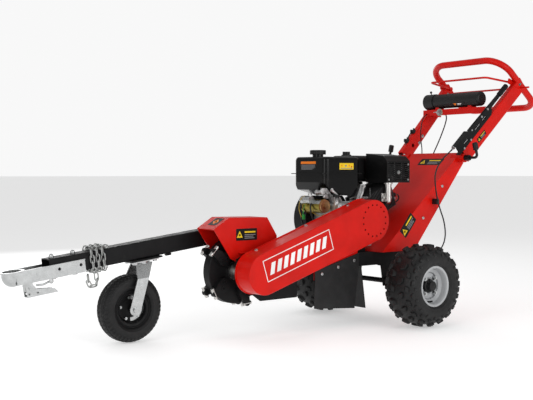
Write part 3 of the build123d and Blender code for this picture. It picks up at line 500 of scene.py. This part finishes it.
def add_lug(bm, place, shape, span, angle, width, skew, height):
    """A raised tread block: sloping sides, narrower ends, its middle line leaning by skew."""
    pieces = 5
    rings = []
    for number in range(pieces + 1):
        fraction = number / pieces
        position = span[0] + (span[1] - span[0]) * fraction
        middle = angle + skew * (fraction - 0.5)
        rise = height(position) * (0.15 if number in (0, pieces) else 1.0)
        spread = width * (1.0 - 0.38 * (2 * fraction - 1) ** 2)
        ring = []
        for side, level in ((-0.5, 0.0), (-0.40, 0.8), (-0.32, 1.0), (0.32, 1.0), (0.40, 0.8), (0.5, 0.0)):
            base = -0.0015 if level == 0.0 else rise * level
            radius, y = shape.at(position, base)
            ring.append(bm.verts.new(on_wheel(place, radius, middle + side * spread, y)))
        rings.append(ring)
    for first, second in zip(rings, rings[1:]):
        for number in range(5):
            bm.faces.new([first[number], first[number + 1], second[number + 1], second[number]])
    bm.faces.new(rings[0])
    bm.faces.new(rings[-1])


def knobbly_tyre(side):
    """A low-pressure tyre with separate rounded tread blocks in staggered rows."""
    place = wheel_axes("wheel_" + side + "_spin")
    bm = bmesh.new()
    shape = TyreShape(0.134, 0.0545, 0.0915, 2.7, 118)

    def ribs(position):
        spread = abs(position)
        ridge = 0.0012 * math.exp(-((spread - 0.80) / 0.012) ** 2)
        ridge += 0.0014 * math.exp(-((spread - 0.93) / 0.014) ** 2)
        return ridge

    add_carcass(bm, place, shape, ribs, [(0.092, 0.060), (0.0912, 0.0735)])
    pitches = 17
    pitch = 2 * math.pi / pitches

    def height(position):
        return 0.0128 - 0.0105 * min(1.0, max(0.0, (abs(position) - 0.2) / 0.55))

    for number in range(pitches):
        angle = pitch * number
        for hand in (-1, 1):
            shift = 0.25 * pitch * (1 + hand)
            add_lug(bm, place, shape, (0.02 * hand, 0.19 * hand), angle + shift, 0.50 * pitch,
                    0.16 * pitch, height)
            add_lug(bm, place, shape, (0.23 * hand, 0.40 * hand), angle + shift + 0.46 * pitch, 0.50 * pitch,
                    -0.14 * pitch, height)
            add_lug(bm, place, shape, (0.43 * hand, 0.60 * hand), angle + shift + 0.96 * pitch, 0.46 * pitch,
                    0.10 * pitch, height)
            add_lug(bm, place, shape, (0.58 * hand, 0.72 * hand), angle + shift + 0.46 * pitch, 0.30 * pitch,
                    0.0, height)
    piece = make_piece("tyre_tread_" + side, bm, ["tyre"], "wheel_" + side)
    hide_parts("tyre_" + side)


def caster_tyre():
    """A small pneumatic tyre with side ribs and short cross grooves in its shoulders."""
    place = wheel_axes("caster_wheel_spin")
    bm = bmesh.new()
    shape = TyreShape(0.1125, 0.0365, 0.0455, 2.3, 125)

    def ribs(position):
        spread = abs(position)
        grooves = 0.0013 * math.cos(position * 60) if spread < 0.36 else 0.0
        ring = 0.0014 * math.exp(-((spread - 0.62) / 0.02) ** 2)
        ring += 0.0012 * math.exp(-((spread - 0.86) / 0.02) ** 2)
        return grooves + ring

    add_carcass(bm, place, shape, ribs, [(0.0805, 0.020), (0.0795, 0.027)])
    blocks = 46
    for number in range(blocks):
        angle = 2 * math.pi * number / blocks
        for hand in (-1, 1):
            add_lug(bm, place, shape, (0.30 * hand, 0.56 * hand), angle, 0.72 * 2 * math.pi / blocks, 0.03,
                    lambda position: 0.0024)
            add_lug(bm, place, shape, (0.03 * hand, 0.26 * hand), angle + math.pi / blocks,
                    0.8 * 2 * math.pi / blocks,
                    0.05, lambda position: 0.0020)
    piece = make_piece("caster_tread", bm, ["tyre"], "caster_wheel")
    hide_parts("caster_tyre")


def valve_stem(name, joint, body, radius, y, angle):
    """A rubber valve stem with its cap, leaning out of the rim."""
    place = wheel_axes(joint)
    foot = on_wheel(place, radius, angle, y)
    tip = on_wheel(place, radius - 0.006, angle, y + math.copysign(0.028, y))
    bm = bmesh.new()
    profile = [(0, 0), (0.006, 0), (0.0045, 0.006), (0.0038, 0.014), (0.0046, 0.0145),
               (0.0046, 0.027), (0, 0.028)]
    add_turned(bm, axes(foot, X if abs((tip - foot).x) < 0.02 else Z, tip - foot), profile, 16)
    make_piece(name, bm, ["plastic"], body)


for side_name in ("left", "right"):
    knobbly_tyre(side_name)
caster_tyre()
valve_stem("valve_left", "wheel_left_spin", "wheel_left", 0.078, -0.045, math.radians(100))
valve_stem("valve_right", "wheel_right_spin", "wheel_right", 0.078, 0.045, math.radians(70))
CASTER = wheel_axes("caster_wheel_spin").inverted()
repaint("caster_rim", "zinc", lambda p: 0.040 < (CASTER @ p).xy.length < 0.056
        and abs((CASTER @ p).z) > 0.0101)


# ---- frames of the sloping parts ----

SWIVEL = JOINTS["caster_swivel"]
BAR = axes(SWIVEL["pos_m"], Y.cross(Vector(SWIVEL["axis"])), SWIVEL["axis"])
ROTOR = Vector(JOINTS["cutter_spin"]["pos_m"])
CRANK = Vector(JOINTS["crank_spin"]["pos_m"])
COVER_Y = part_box("belt_cover")[0][1]
COVER_FACE = axes((ROTOR.x, COVER_Y, ROTOR.z), CRANK - ROTOR, -Y)
PIVOT = Vector(JOINTS["handle_tilt"]["pos_m"])
ARM_Y = 0.215
ARM_RUN = (0.435, 0.035, 0.406)
ARM_HALF_T = 0.016
ARM_HALF_W = 0.0375
PANEL_SLOPE = Vector((1, 0, 0.8525)).normalized()
PANEL_OUT = Vector((-PANEL_SLOPE.z, 0, PANEL_SLOPE.x))


def arm_axes(side):
    """x up along the handle arm, z out of its front face, y to the machine's right."""
    run = Vector((ARM_RUN[0], side * ARM_RUN[1], ARM_RUN[2]))
    return axes(PIVOT + Y * side * ARM_Y, run, (-ARM_RUN[2], 0, ARM_RUN[0]))


ARM_LEFT = arm_axes(-1)
ARM_RIGHT = arm_axes(1)


def at(place, x, y, z):
    return place @ Vector((x, y, z))


def shifted(place, x, y, z=0.0):
    return place @ Matrix.Translation((x, y, z))


# ---- printed labels, all of them plain generic marks ----

def add_mark(bm, place, outline, material):
    add_prism(bm, place, outline, 0.0004, 0.0007, material=material)


def label(name, place, size, marks, body, finishes):
    """A thin sticker. marks is a list of (x, y, outline, finish number)."""
    bm = bmesh.new()
    add_prism(bm, place, rounded(size[0], size[1], min(size) * 0.08), 0.0, 0.0005, 0.0001)
    for x, y, outline, material in marks:
        add_mark(bm, shifted(place, x, y), outline, material)
    make_piece(name, bm, finishes, body, smooth=False)


def bars(width, height, x, y, rows, lengths, material):
    """Short plain lines, one under the other."""
    step = height / rows
    marks = []
    for row in range(rows):
        length = width * lengths[row % len(lengths)]
        outline = rounded(length, step * 0.45, step * 0.1)
        marks.append((x - (width - length) / 2, y + height / 2 - step * (row + 0.5), outline, material))
    return marks


def triangle(size):
    return [(-size / 2, -size * 0.4), (size / 2, -size * 0.4), (0, size * 0.5)]


def caution_marks(width, height):
    """A plain triangle beside plain lines."""
    marks = [(-width * 0.33, 0, triangle(height * 0.62), 1),
             (-width * 0.33, -height * 0.04, disc(height * 0.1), 0)]
    marks += bars(width * 0.52, height * 0.3, width * 0.16, height * 0.2, 1, (1.0,), 1)
    marks += bars(width * 0.52, height * 0.42, width * 0.16, -height * 0.17, 3, (1.0, 0.8, 0.9), 2)
    return marks


CAUTION = ["label_black", "yellow", "grey"]
guard_side = axes((-0.417, -0.050, 0.468), X, -Y)
label("label_guard", guard_side, (0.120, 0.054), caution_marks(0.120, 0.054), "frame", CAUTION)
GUARD_FRONT = Vector((-0.600, 0, 0.497))
GUARD_SLOPE = Vector((0.084, 0, 0.049)).normalized()
guard_top = axes(GUARD_FRONT + GUARD_SLOPE * 0.060 + Y * 0.006, -Y, (-GUARD_SLOPE.z, 0, GUARD_SLOPE.x))
diamond = [(0.0, 0.019), (-0.019, 0.0), (0.0, -0.019), (0.019, 0.0)]
label("label_guard_top", guard_top, (0.064, 0.058), [(0, 0, diamond, 1), (0, 0, disc(0.007), 0)], "frame",
      ["label_black", "orange"])
flange_side = axes((0.500, -0.190, 0.483), (0.652, 0, 0.758), -Y)
label("label_flange", flange_side, (0.120, 0.058), caution_marks(0.120, 0.058), "frame",
      CAUTION)
panel_top = axes(Vector((0.842, -0.038, 0.356 + 0.8525 * (0.842 - 0.315))), -Y, PANEL_OUT)
label("label_panel", panel_top, (0.158, 0.052), caution_marks(0.158, 0.052), "frame", CAUTION)
arm_outside = axes(at(ARM_LEFT, 0.170, -ARM_HALF_T, 0.0), ARM_LEFT.col[0].xyz, -ARM_LEFT.col[1].xyz)
label("label_arm", arm_outside, (0.078, 0.026), caution_marks(0.078, 0.026), "handle", CAUTION)

TANK_FRONT_X = 0.079
TANK_SIDE_Y = -0.036
tank_front = axes((TANK_FRONT_X, 0.090, 0.783), -Y, -X)
orange_bar = [(0, 0.014, rounded(0.112, 0.012, 0.002), 1)]
label("label_tank_front", tank_front, (0.116, 0.046),
      orange_bar + bars(0.104, 0.026, 0, -0.008, 5, (1, 0.96, 1, 0.9, 0.8), 2),
      "frame", ["label_black", "orange", "grey"])
tank_side = axes((0.220, TANK_SIDE_Y, 0.779), X, -Y)
spots = [(-0.033, 0.003, disc(0.004), 1), (-0.005, 0.003, rounded(0.012, 0.008, 0.001), 2),
         (0.018, 0.003, disc(0.0045), 1),
         (0.034, -0.002, disc(0.004), 3)]
label("label_tank_side", tank_side, (0.096, 0.032), spots + bars(0.080, 0.008, 0, -0.010, 1, (1,), 2),
      "frame",
      ["yellow", "orange", "grey", "red"])


def cover_panel():
    """A white frame line round a row of plain slanting blocks."""
    width, height, line = 0.408, 0.096, 0.0036
    centre = shifted(COVER_FACE, 0.204, 0.013)
    bm = bmesh.new()
    for x, y, w, h in ((0, height / 2, width, line), (0, -height / 2, width, line),
                       (-width / 2, 0, line, height + line), (width / 2, 0, line, height + line)):
        add_prism(bm, shifted(centre, x, y), rounded(w, h, line * 0.2), 0, 0.0004)
    blocks = 9
    tall = 0.050
    for number in range(blocks):
        x = (number - (blocks - 1) / 2) * 0.040
        wide = 0.024
        lean = 0.012
        outline = [(wide / 2 + lean, tall / 2), (-wide / 2 + lean, tall / 2), (-wide / 2 - lean, -tall / 2),
                   (wide / 2 - lean, -tall / 2)]
        add_prism(bm, shifted(centre, x, 0), outline, 0, 0.0004)
    make_piece("cover_print", bm, ["white"], "frame", smooth=False)


cover_panel()


# ---- engine details ----

SOLENOID = Vector((0.040, 0, 0.614))
repaint("starter_motor", "zinc", lambda p: (Vector((p.x, 0, p.z)) - SOLENOID).length < 0.0196)
repaint("starter_motor", "copper", lambda p: p.y < -0.0285)
repaint("starter_motor", "black", lambda p: p.y > 0.0821 and p.x > 0.05)
repaint("crankcase", "plastic", lambda p: p.z > 0.610 and p.x < 0.16 and -0.08 < p.y < -0.04)


VENT_RING = 0.076


def in_vent_painted_shade(point):
    """Whether a face of the belt cover is the wall of one of its round vents; these walls get painted shade
    (black) so the holes read dark.
    """
    out = math.hypot(point.x - CRANK.x, point.z - CRANK.z)
    return abs(out - VENT_RING) < 0.005 and COVER_Y + 0.0004 < point.y < COVER_Y + 0.0026


# Painted shade: the walls of the belt cover's round vents are painted black so the holes look dark.
repaint("belt_cover", "black", in_vent_painted_shade)
# Painted highlight: the thin walls of the muffler guard's slots are painted zinc so that the slat edges
# glint.
repaint("muffler", "zinc", lambda p: -0.1098 < p.y < -0.1072 and 0.437 < p.x < 0.6 and 0.7 < p.z < 0.81)
ARM_LEFT_INVERSE = ARM_LEFT.inverted()
repaint("brake_bracket", "zinc", lambda p: (ARM_LEFT_INVERSE @ p).y < -0.0193)


def engine_bolts():
    bm = bmesh.new()
    for number in range(6):
        angle = math.radians(30 + 60 * number)
        spot = CRANK + Vector((0.135 * math.cos(angle), 0, 0.135 * math.sin(angle)))
        if spot.z < 0.62:
            add_hex_bolt(bm, axes((spot.x, 0.192, spot.z), X, Y), 0.011, 0.006)
    muffler_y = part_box("muffler")[0][1]
    add_hex_bolt(bm, axes((0.514, muffler_y - 0.0002, 0.749), X, -Y), 0.012, 0.008)
    for x, z in ((0.440, 0.822), (0.590, 0.832)):
        add_hex_bolt(bm, axes((x, muffler_y + 0.030, z + 0.0085), X, (0, -0.33, 0.94)), 0.007, 0.003)
    for x, z in ((0.445, 0.712), (0.586, 0.712), (0.586, 0.790)):
        add_hex_bolt(bm, axes((x, muffler_y, z), X, -Y), 0.0065, 0.003)
    head = axes(CRANK, Vector((math.cos(math.radians(25)), 0, math.sin(math.radians(25)))), -Y)
    for along, up in ((0.326, -0.050), (0.326, 0.026), (0.340, -0.050), (0.340, 0.026)):
        add_hex_bolt(bm, axes(at(head, along, up, 0.050), X, -Y), 0.009, 0.005)
    make_piece("engine_bolts", bm, ["zinc"], "frame")


def governor_linkage():
    """The speed lever, its spring and its rod, on the near side under the tank."""
    bm = bmesh.new()
    y = -0.100
    plate = axes((0.232, y, 0.606), (0.35, 0, 0.94), -Y)
    add_prism(bm, plate, rounded(0.052, 0.014, 0.006), 0, 0.002, 0.0004)
    add_prism(bm, axes((0.206, y + 0.004, 0.600), X, -Y), rounded(0.046, 0.030, 0.006), 0, 0.002, 0.0004)
    add_hex_bolt(bm, axes((0.222, y - 0.002, 0.586), X, -Y), 0.010, 0.006)
    add_hex_bolt(bm, axes((0.192, y + 0.002, 0.606), X, -Y), 0.008, 0.005)
    coil = []
    turns = 12
    for step in range(turns * 10):
        angle = 2 * math.pi * step / 10
        coil.append(Vector((0.240 + 0.0005 * step, y - 0.002 + 0.0045 * math.cos(angle),
                            0.624 + 0.0045 * math.sin(angle))))
    add_tube(bm, coil, 0.0008, 6)
    add_tube(bm, smooth_line([Vector(p) for p in ((0.180, y, 0.618), (0.212, y, 0.632),
            (0.241, y, 0.628))]), 0.0013, 8)
    add_tube(bm, smooth_line([Vector(p) for p in ((0.298, y, 0.624), (0.330, y + 0.01, 0.618),
            (0.352, y + 0.03, 0.640),
                                                  (0.360, y + 0.04, 0.668))]), 0.0013, 8)
    make_piece("governor_linkage", bm, ["zinc"], "frame")


def tank_bracket(name, points, width):
    """A cast arm from the crankcase up to the tank."""
    bm = bmesh.new()
    line = smooth_line([Vector(p) for p in points])
    add_tube(bm, line, lambda fraction: width * (1 - 0.35 * math.sin(math.pi * fraction)), 10)
    top = points[-1]
    add_hex_bolt(bm, axes((top[0], top[1] - width, top[2]), X, -Y), 0.011, 0.006)
    make_piece(name, bm, ["aluminium"], "frame")


def carburettor_side():
    """Odd-shaped castings and the lead clip that show under the tank's front corner."""
    bm = bmesh.new()
    add_turned(bm, axes((0.072, 0.020, 0.650), X, (0.3, -0.9, 0.1)),
               [(0, 0), (0.014, 0), (0.014, 0.012), (0.010, 0.018), (0.010, 0.040), (0.016, 0.042),
                (0.016, 0.050), (0, 0.052)], 20)
    add_turned(bm, axes((0.052, 0.050, 0.646), X, (0, -0.4, -0.9)),
               [(0, 0), (0.010, 0), (0.010, 0.030), (0.006, 0.036), (0, 0.036)], 16)
    add_prism(bm, axes((0.102, -0.020, 0.632), X, -Y), rounded(0.050, 0.022, 0.008), 0, 0.010, 0.002)
    add_hex_bolt(bm, axes((0.088, -0.030, 0.632), X, -Y), 0.009, 0.005)
    add_hex_bolt(bm, axes((0.118, -0.030, 0.632), X, -Y), 0.009, 0.005)
    make_piece("carburettor_side", bm, ["aluminium"], "frame")


def green_plug():
    bm = bmesh.new()
    add_prism(bm, axes((0.018, 0.060, 0.530), X, -Y), rounded(0.012, 0.024, 0.002), 0, 0.010, 0.001)
    make_piece("wire_plug", bm, ["green"], "frame")


def spark_plug_boot():
    bm = bmesh.new()
    profile = [(0, 0), (0.009, 0.0), (0.011, 0.006), (0.009, 0.012), (0.0085, 0.040), (0.011, 0.048),
               (0.008, 0.056), (0, 0.057)]
    add_turned(bm, axes((0.528, -0.026, 0.652), Y, (0.72, -0.5, -0.3)), profile, 20)
    make_piece("spark_plug_boot", bm, ["plastic"], "frame")


engine_bolts()
governor_linkage()
tank_bracket("tank_arm_front", [(0.176, -0.050, 0.590), (0.160, -0.056, 0.616),
                                (0.128, -0.060, 0.645), (0.104, -0.046, 0.664)], 0.0085)
tank_bracket("tank_arm_rear", [(0.282, -0.056, 0.592), (0.292, -0.060, 0.622), (0.312, -0.058, 0.652),
                               (0.326, -0.044, 0.680)], 0.0085)
carburettor_side()
green_plug()
spark_plug_boot()
cable("wire_yellow", [(0.040, 0.070, 0.634), (0.022, 0.076, 0.628), (0.010, 0.080, 0.596),
                      (0.008, 0.080, 0.560), (0.018, 0.070, 0.528)],
      0.0016, "frame", "yellow_wire")
cable("wire_yellow_short", [(0.092, -0.020, 0.548), (0.080, -0.012, 0.536), (0.060, 0.006, 0.538),
                            (0.048, 0.030, 0.556)],
      0.0016, "frame", "yellow_wire")
cable("wire_green", [(0.018, 0.060, 0.540), (0.020, 0.062, 0.560), (0.034, 0.066, 0.584),
                     (0.040, 0.070, 0.600)], 0.0016, "frame", "green")
cable("wire_battery", [(0.040, 0.026, 0.600), (0.030, 0.022, 0.580), (0.034, 0.016, 0.540),
                       (0.058, 0.010, 0.490), (0.090, 0.0, 0.440)],
      0.0042, "frame")
cable("wire_battery_back", [(0.046, 0.090, 0.604), (0.034, 0.096, 0.580), (0.036, 0.100, 0.530),
                            (0.064, 0.104, 0.470)], 0.0036, "frame")
cable("spark_lead", [(0.566, -0.053, 0.636), (0.580, -0.058, 0.622), (0.572, -0.040, 0.594),
                     (0.520, 0.000, 0.566), (0.450, 0.050, 0.560),
                     (0.400, 0.090, 0.575)], 0.0035, "frame")


# ---- handle details ----

def handle_bolts():
    bm = bmesh.new()
    outside_left = axes(at(ARM_LEFT, 0.586, -ARM_HALF_T, 0.012), ARM_LEFT.col[0].xyz, -ARM_LEFT.col[1].xyz)
    add_hex_bolt(bm, outside_left, 0.013, 0.007)
    for along, front in ((0.210, -0.018), (0.161, -0.026), (0.560, 0.0)):
        inside = axes(at(ARM_RIGHT, along, -ARM_HALF_T, front), ARM_RIGHT.col[0].xyz, -ARM_RIGHT.col[1].xyz)
        add_hex_bolt(bm, inside, 0.013, 0.006)
    for side, arm in ((-1, ARM_LEFT), (1, ARM_RIGHT)):
        place = axes(at(arm, 0.586, side * ARM_HALF_T, 0.012), arm.col[0].xyz, side * arm.col[1].xyz)
        add_hex_bolt(bm, place, 0.013, 0.007)
    make_piece("handle_bolts", bm, ["zinc"], "handle")


def bail_brackets():
    """Two lugs welded under the hoop, with the cross shaft that steadies them."""
    bm = bmesh.new()
    pivot = Vector(JOINTS["bail_squeeze"]["pos_m"])
    for side in (-1, 1):
        place = axes((pivot.x - 0.030, side * 0.2405, pivot.z - 0.004), (1, 0, -0.30), (0, side, 0))
        add_prism(bm, place, rounded(0.100, 0.030, 0.008), -0.0035, 0.0, 0.0004)
    shaft = [Vector((pivot.x, y, pivot.z - 0.027)) for y in (-0.318, -0.20, -0.05, 0.10, 0.235)]
    add_tube(bm, shaft, 0.0052, 16)
    make_piece("bail_brackets", bm, ["red"], "handle")


def cable_clips():
    """Black clamps that hold the control cables to the right arm."""
    bm = bmesh.new()
    for along in (0.178, 0.100):
        place = axes(at(ARM_RIGHT, along, 0.0, ARM_HALF_W), ARM_RIGHT.col[0].xyz, ARM_RIGHT.col[2].xyz)
        add_prism(bm, place, rounded(0.020, 0.026, 0.004), 0.0, 0.016, 0.002)
        add_turned(bm, shifted(place, 0, 0.006, 0.016),
                   [(0, 0), (0.006, 0), (0.006, 0.004), (0.003, 0.006), (0, 0.006)], 12)
        add_turned(bm, shifted(place, 0.014, -0.004, 0.004),
                   [(0, 0), (0.0055, 0), (0.0055, 0.014), (0.003, 0.016), (0, 0.016)], 12)
    make_piece("cable_clips", bm, ["plastic"], "handle")


def flange_clip():
    """A clip on the panel's side flange, round the brake cable."""
    bm = bmesh.new()
    place = axes((0.690, -0.190, 0.600), X, -Y)
    add_prism(bm, place, rounded(0.020, 0.030, 0.006), 0.0, 0.034, 0.004)
    make_piece("flange_clip", bm, ["plastic"], "frame")
    bm = bmesh.new()
    add_hex_bolt(bm, axes((0.706, -0.190, 0.606), X, -Y), 0.012, 0.008)
    make_piece("flange_clip_bolt", bm, ["zinc"], "frame")


def cable_adjuster():
    """The threaded barrel and nuts where the brake cable leaves its bracket."""
    bm = bmesh.new()
    place = axes(at(ARM_LEFT, -0.018, -0.004, 0.0905), ARM_LEFT.col[1].xyz, -ARM_LEFT.col[0].xyz)
    profile = [(0, 0), (0.0055, 0), (0.0055, 0.002), (0.0095, 0.0021), (0.0095, 0.007),
               (0.0055, 0.0071), (0.005, 0.020), (0.0042, 0.021),
               (0.0042, 0.026), (0, 0.026)]
    add_turned(bm, place, profile, 6)
    make_piece("cable_adjuster", bm, ["zinc"], "handle", smooth=False)


def tube_mark():
    outward = Vector((-0.8, 0, -0.6))
    tube_low, tube_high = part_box("document_tube")
    axis = Vector(((tube_low[0] + tube_high[0]) / 2, -0.040, (tube_low[2] + tube_high[2]) / 2))
    place = axes(axis + outward * 0.0398, -Y, outward)
    bm = bmesh.new()
    add_prism(bm, shifted(place, -0.020, 0),
              [(0.010, 0.006), (-0.010, 0.006), (-0.004, -0.006), (0.004, -0.006)], 0, 0.0006, material=0)
    add_prism(bm, shifted(place, 0.010, 0.002), rounded(0.030, 0.004, 0.001), 0, 0.0006, material=1)
    add_prism(bm, shifted(place, 0.006, -0.004), rounded(0.022, 0.0025, 0.001), 0, 0.0006, material=1)
    make_piece("tube_mark", bm, ["orange", "white"], "handle", smooth=False)


def ignition_surround():
    """The beige face round the key switch, and the switch body behind the tray's front edge."""
    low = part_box("cross_tray")[0]
    bm = bmesh.new()
    place = axes((low[0], 0.095, 1.086), Y, -X)
    add_turned(bm, place, [(0.0155, 0.0), (0.021, 0.0), (0.021, 0.003), (0.0185, 0.0055),
                           (0.0155, 0.0055)], 32)
    make_piece("key_surround", bm, ["beige"], "handle")
    bm = bmesh.new()
    add_turned(bm, axes((low[0] + 0.0225, 0.095, 1.086), Y, X),
               [(0, 0), (0.0145, 0), (0.0145, 0.020), (0.010, 0.028), (0, 0.028)], 24)
    make_piece("key_switch_body", bm, ["plastic"], "handle")


def across_tilt(name, points, radius):
    """A cable from the handle down to the frame, baked in place with no parent."""
    piece = cable(name, points, radius, "frame")
    piece.parent = None
    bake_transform(piece)
    return piece


BRAKE_ROUTE = [
    (0.8024, -0.217, 0.868), (0.766, -0.224, 0.848), (0.690, -0.240, 0.812), (0.633, -0.246, 0.745),
               (0.650, -0.240, 0.655),
    (0.708, -0.214, 0.570), (0.758, -0.208, 0.490), (0.746, -0.226, 0.400), (0.668, -0.240, 0.330),
               (0.568, -0.246, 0.296),
    (0.468, -0.249, 0.284),
]
handle_bolts()
bail_brackets()
cable_clips()
flange_clip()
cable_adjuster()
tube_mark()
ignition_surround()
brake = across_tilt("brake_cable_skin", BRAKE_ROUTE, 0.0035)
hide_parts("brake_cable")
THROTTLE_CLIMB = ((0.440, 0.004, 0.058), (0.425, 0.018, 0.052), (0.390, 0.0215, 0.030),
                  (0.330, 0.0215, 0.012),
                  (0.260, 0.0215, 0.012), (0.210, 0.0215, 0.030), (0.178, 0.004, 0.050), (0.100, 0.0, 0.048))
THROTTLE_FALL = [(0.905, 0.205, 0.865), (0.850, 0.202, 0.838), (0.780, 0.202, 0.790),
                 (0.700, 0.200, 0.725), (0.620, 0.185, 0.662),
                 (0.560, 0.160, 0.618), (0.500, 0.135, 0.603), (0.420, 0.106, 0.600), (0.344, 0.088, 0.598)]
across_tilt("throttle_cable", [at(ARM_RIGHT, *point) for point in THROTTLE_CLIMB] + THROTTLE_FALL, 0.0034)
across_tilt("ignition_lead", [(1.112, 0.095, 1.084), (1.124, 0.092, 1.070), (1.112, 0.086, 1.036),
                              (1.066, 0.070, 0.980), (1.006, 0.052, 0.912),
                              (0.950, 0.040, 0.850), (0.905, 0.030, 0.780), (0.845, 0.020, 0.700),
                              (0.760, 0.010, 0.610), (0.690, 0.0, 0.510),
                             (0.610, 0.0, 0.425), (0.530, 0.006, 0.372)],
            0.0034)
across_tilt("stop_lead", [(1.100, 0.190, 1.092), (1.060, 0.190, 1.080), (1.024, 0.184, 1.050),
                          (1.000, 0.176, 0.990), (0.984, 0.160, 0.930),
                          (0.952, 0.120, 0.870), (0.910, 0.090, 0.800), (0.850, 0.060, 0.720),
                          (0.780, 0.044, 0.630), (0.710, 0.030, 0.530),
                           (0.620, 0.024, 0.430), (0.530, 0.024, 0.372)],
            0.0028)


def lead_connector():
    """A block on the panel's foot that ends both leads from the handle."""
    bm = bmesh.new()
    foot_top = 0.360
    add_prism(bm, axes((0.524, 0.015, foot_top), X, Z), rounded(0.034, 0.050, 0.004), 0.0, 0.022, 0.002)
    make_piece("lead_connector", bm, ["plastic"], "frame")


lead_connector()


# ---- tow bar details ----

def coupler_details():
    """The clamp nut in the coupler's channel, its spring clip and the latch's small lever."""
    bm = bmesh.new()
    nut = shifted(BAR, -0.548, 0.0, -0.010)
    add_turned(bm, nut, [(0, 0), (0.014, 0), (0.014, 0.003), (0.0095, 0.0031), (0.0095, 0.013),
                         (0.006, 0.0135), (0.006, 0.021), (0, 0.022)], 6)
    for x in (-0.536, -0.522):
        add_turned(bm, shifted(BAR, x, -0.024, -0.034),
                   [(0, 0), (0.0055, 0), (0.0055, 0.010), (0, 0.012)], 12)
    add_tube(bm, [at(BAR, -0.502, 0.0, -0.062), at(BAR, -0.470, 0.0, -0.066),
                  at(BAR, -0.440, 0.0, -0.058)], 0.0042, 12)
    add_turned(bm, axes(at(BAR, -0.438, -0.006, -0.058), X, -Y),
               [(0, 0), (0.010, 0), (0.010, 0.003), (0.007, 0.004), (0, 0.004)], 24)
    make_piece("coupler_details", bm, ["zinc"], "frame")


def bar_end_cap():
    low_half = 0.0372
    bm = bmesh.new()
    place = axes(at(BAR, 0.642, 0.0, 0.0), BAR.col[1].xyz, BAR.col[0].xyz)
    add_prism(bm, place, rounded(low_half * 2, low_half * 2, 0.008), -0.002, 0.0004, 0.0002)
    make_piece("bar_end_cap", bm, ["plastic"], "frame")


coupler_details()
bar_end_cap()


# ---- light and floor ----

def add_floor():
    bm = bmesh.new()
    bmesh.ops.create_grid(bm, x_segments=2, y_segments=2, size=200)
    mesh = bpy.data.meshes.new("floor")
    bm.to_mesh(mesh)
    bm.free()
    nodes = Nodes("floor")
    nodes.shader.inputs["Base Color"].default_value = (0.86, 0.86, 0.86, 1)
    nodes.shader.inputs["Roughness"].default_value = 0.8
    nodes.shader.inputs["Emission Color"].default_value = (1, 1, 1, 1)
    nodes.shader.inputs["Emission Strength"].default_value = 0.4
    mesh.materials.append(nodes.material)
    floor = bpy.data.objects.new("floor", mesh)
    bpy.context.collection.objects.link(floor)


def add_light(name, place, target, size, power):
    data = bpy.data.lights.new(name, "AREA")
    data.shape = "RECTANGLE"
    data.size = size[0]
    data.size_y = size[1]
    data.energy = power
    light = bpy.data.objects.new(name, data)
    light.location = place
    light.rotation_mode = "QUATERNION"
    light.rotation_quaternion = (Vector(target) - Vector(place)).to_track_quat("-Z", "Y")
    bpy.context.collection.objects.link(light)


def add_world(brightness):
    world = bpy.data.worlds.new("studio")
    world.use_nodes = True
    tree = world.node_tree
    glow = tree.nodes["Background"]
    glow.inputs["Strength"].default_value = brightness
    glow.inputs["Color"].default_value = (1, 1, 1, 1)
    backdrop = tree.nodes.new("ShaderNodeBackground")
    backdrop.inputs["Color"].default_value = (0.94, 0.94, 0.94, 1)
    path = tree.nodes.new("ShaderNodeLightPath")
    choice = tree.nodes.new("ShaderNodeMixShader")
    tree.links.new(path.outputs["Is Camera Ray"], choice.inputs["Fac"])
    tree.links.new(glow.outputs["Background"], choice.inputs[1])
    tree.links.new(backdrop.outputs["Background"], choice.inputs[2])
    tree.links.new(choice.outputs["Shader"], tree.nodes["World Output"].inputs["Surface"])
    bpy.context.scene.world = world


add_floor()
add_world(0.42)
add_light("key", (0.4, -5.0, 1.9), (0.1, 0, 0.5), (4.0, 2.2), 95)
add_light("front", (-4.2, -1.2, 1.6), (0, 0, 0.5), (2.0, 2.0), 40)
add_light("top", (0, 0.5, 4.2), (0, 0, 0), (4.0, 3.0), 25)
add_light("back", (0.5, 4.6, 2.0), (0, 0, 0.7), (4.0, 2.0), 60)
bpy.context.scene.view_settings.view_transform = "Standard"
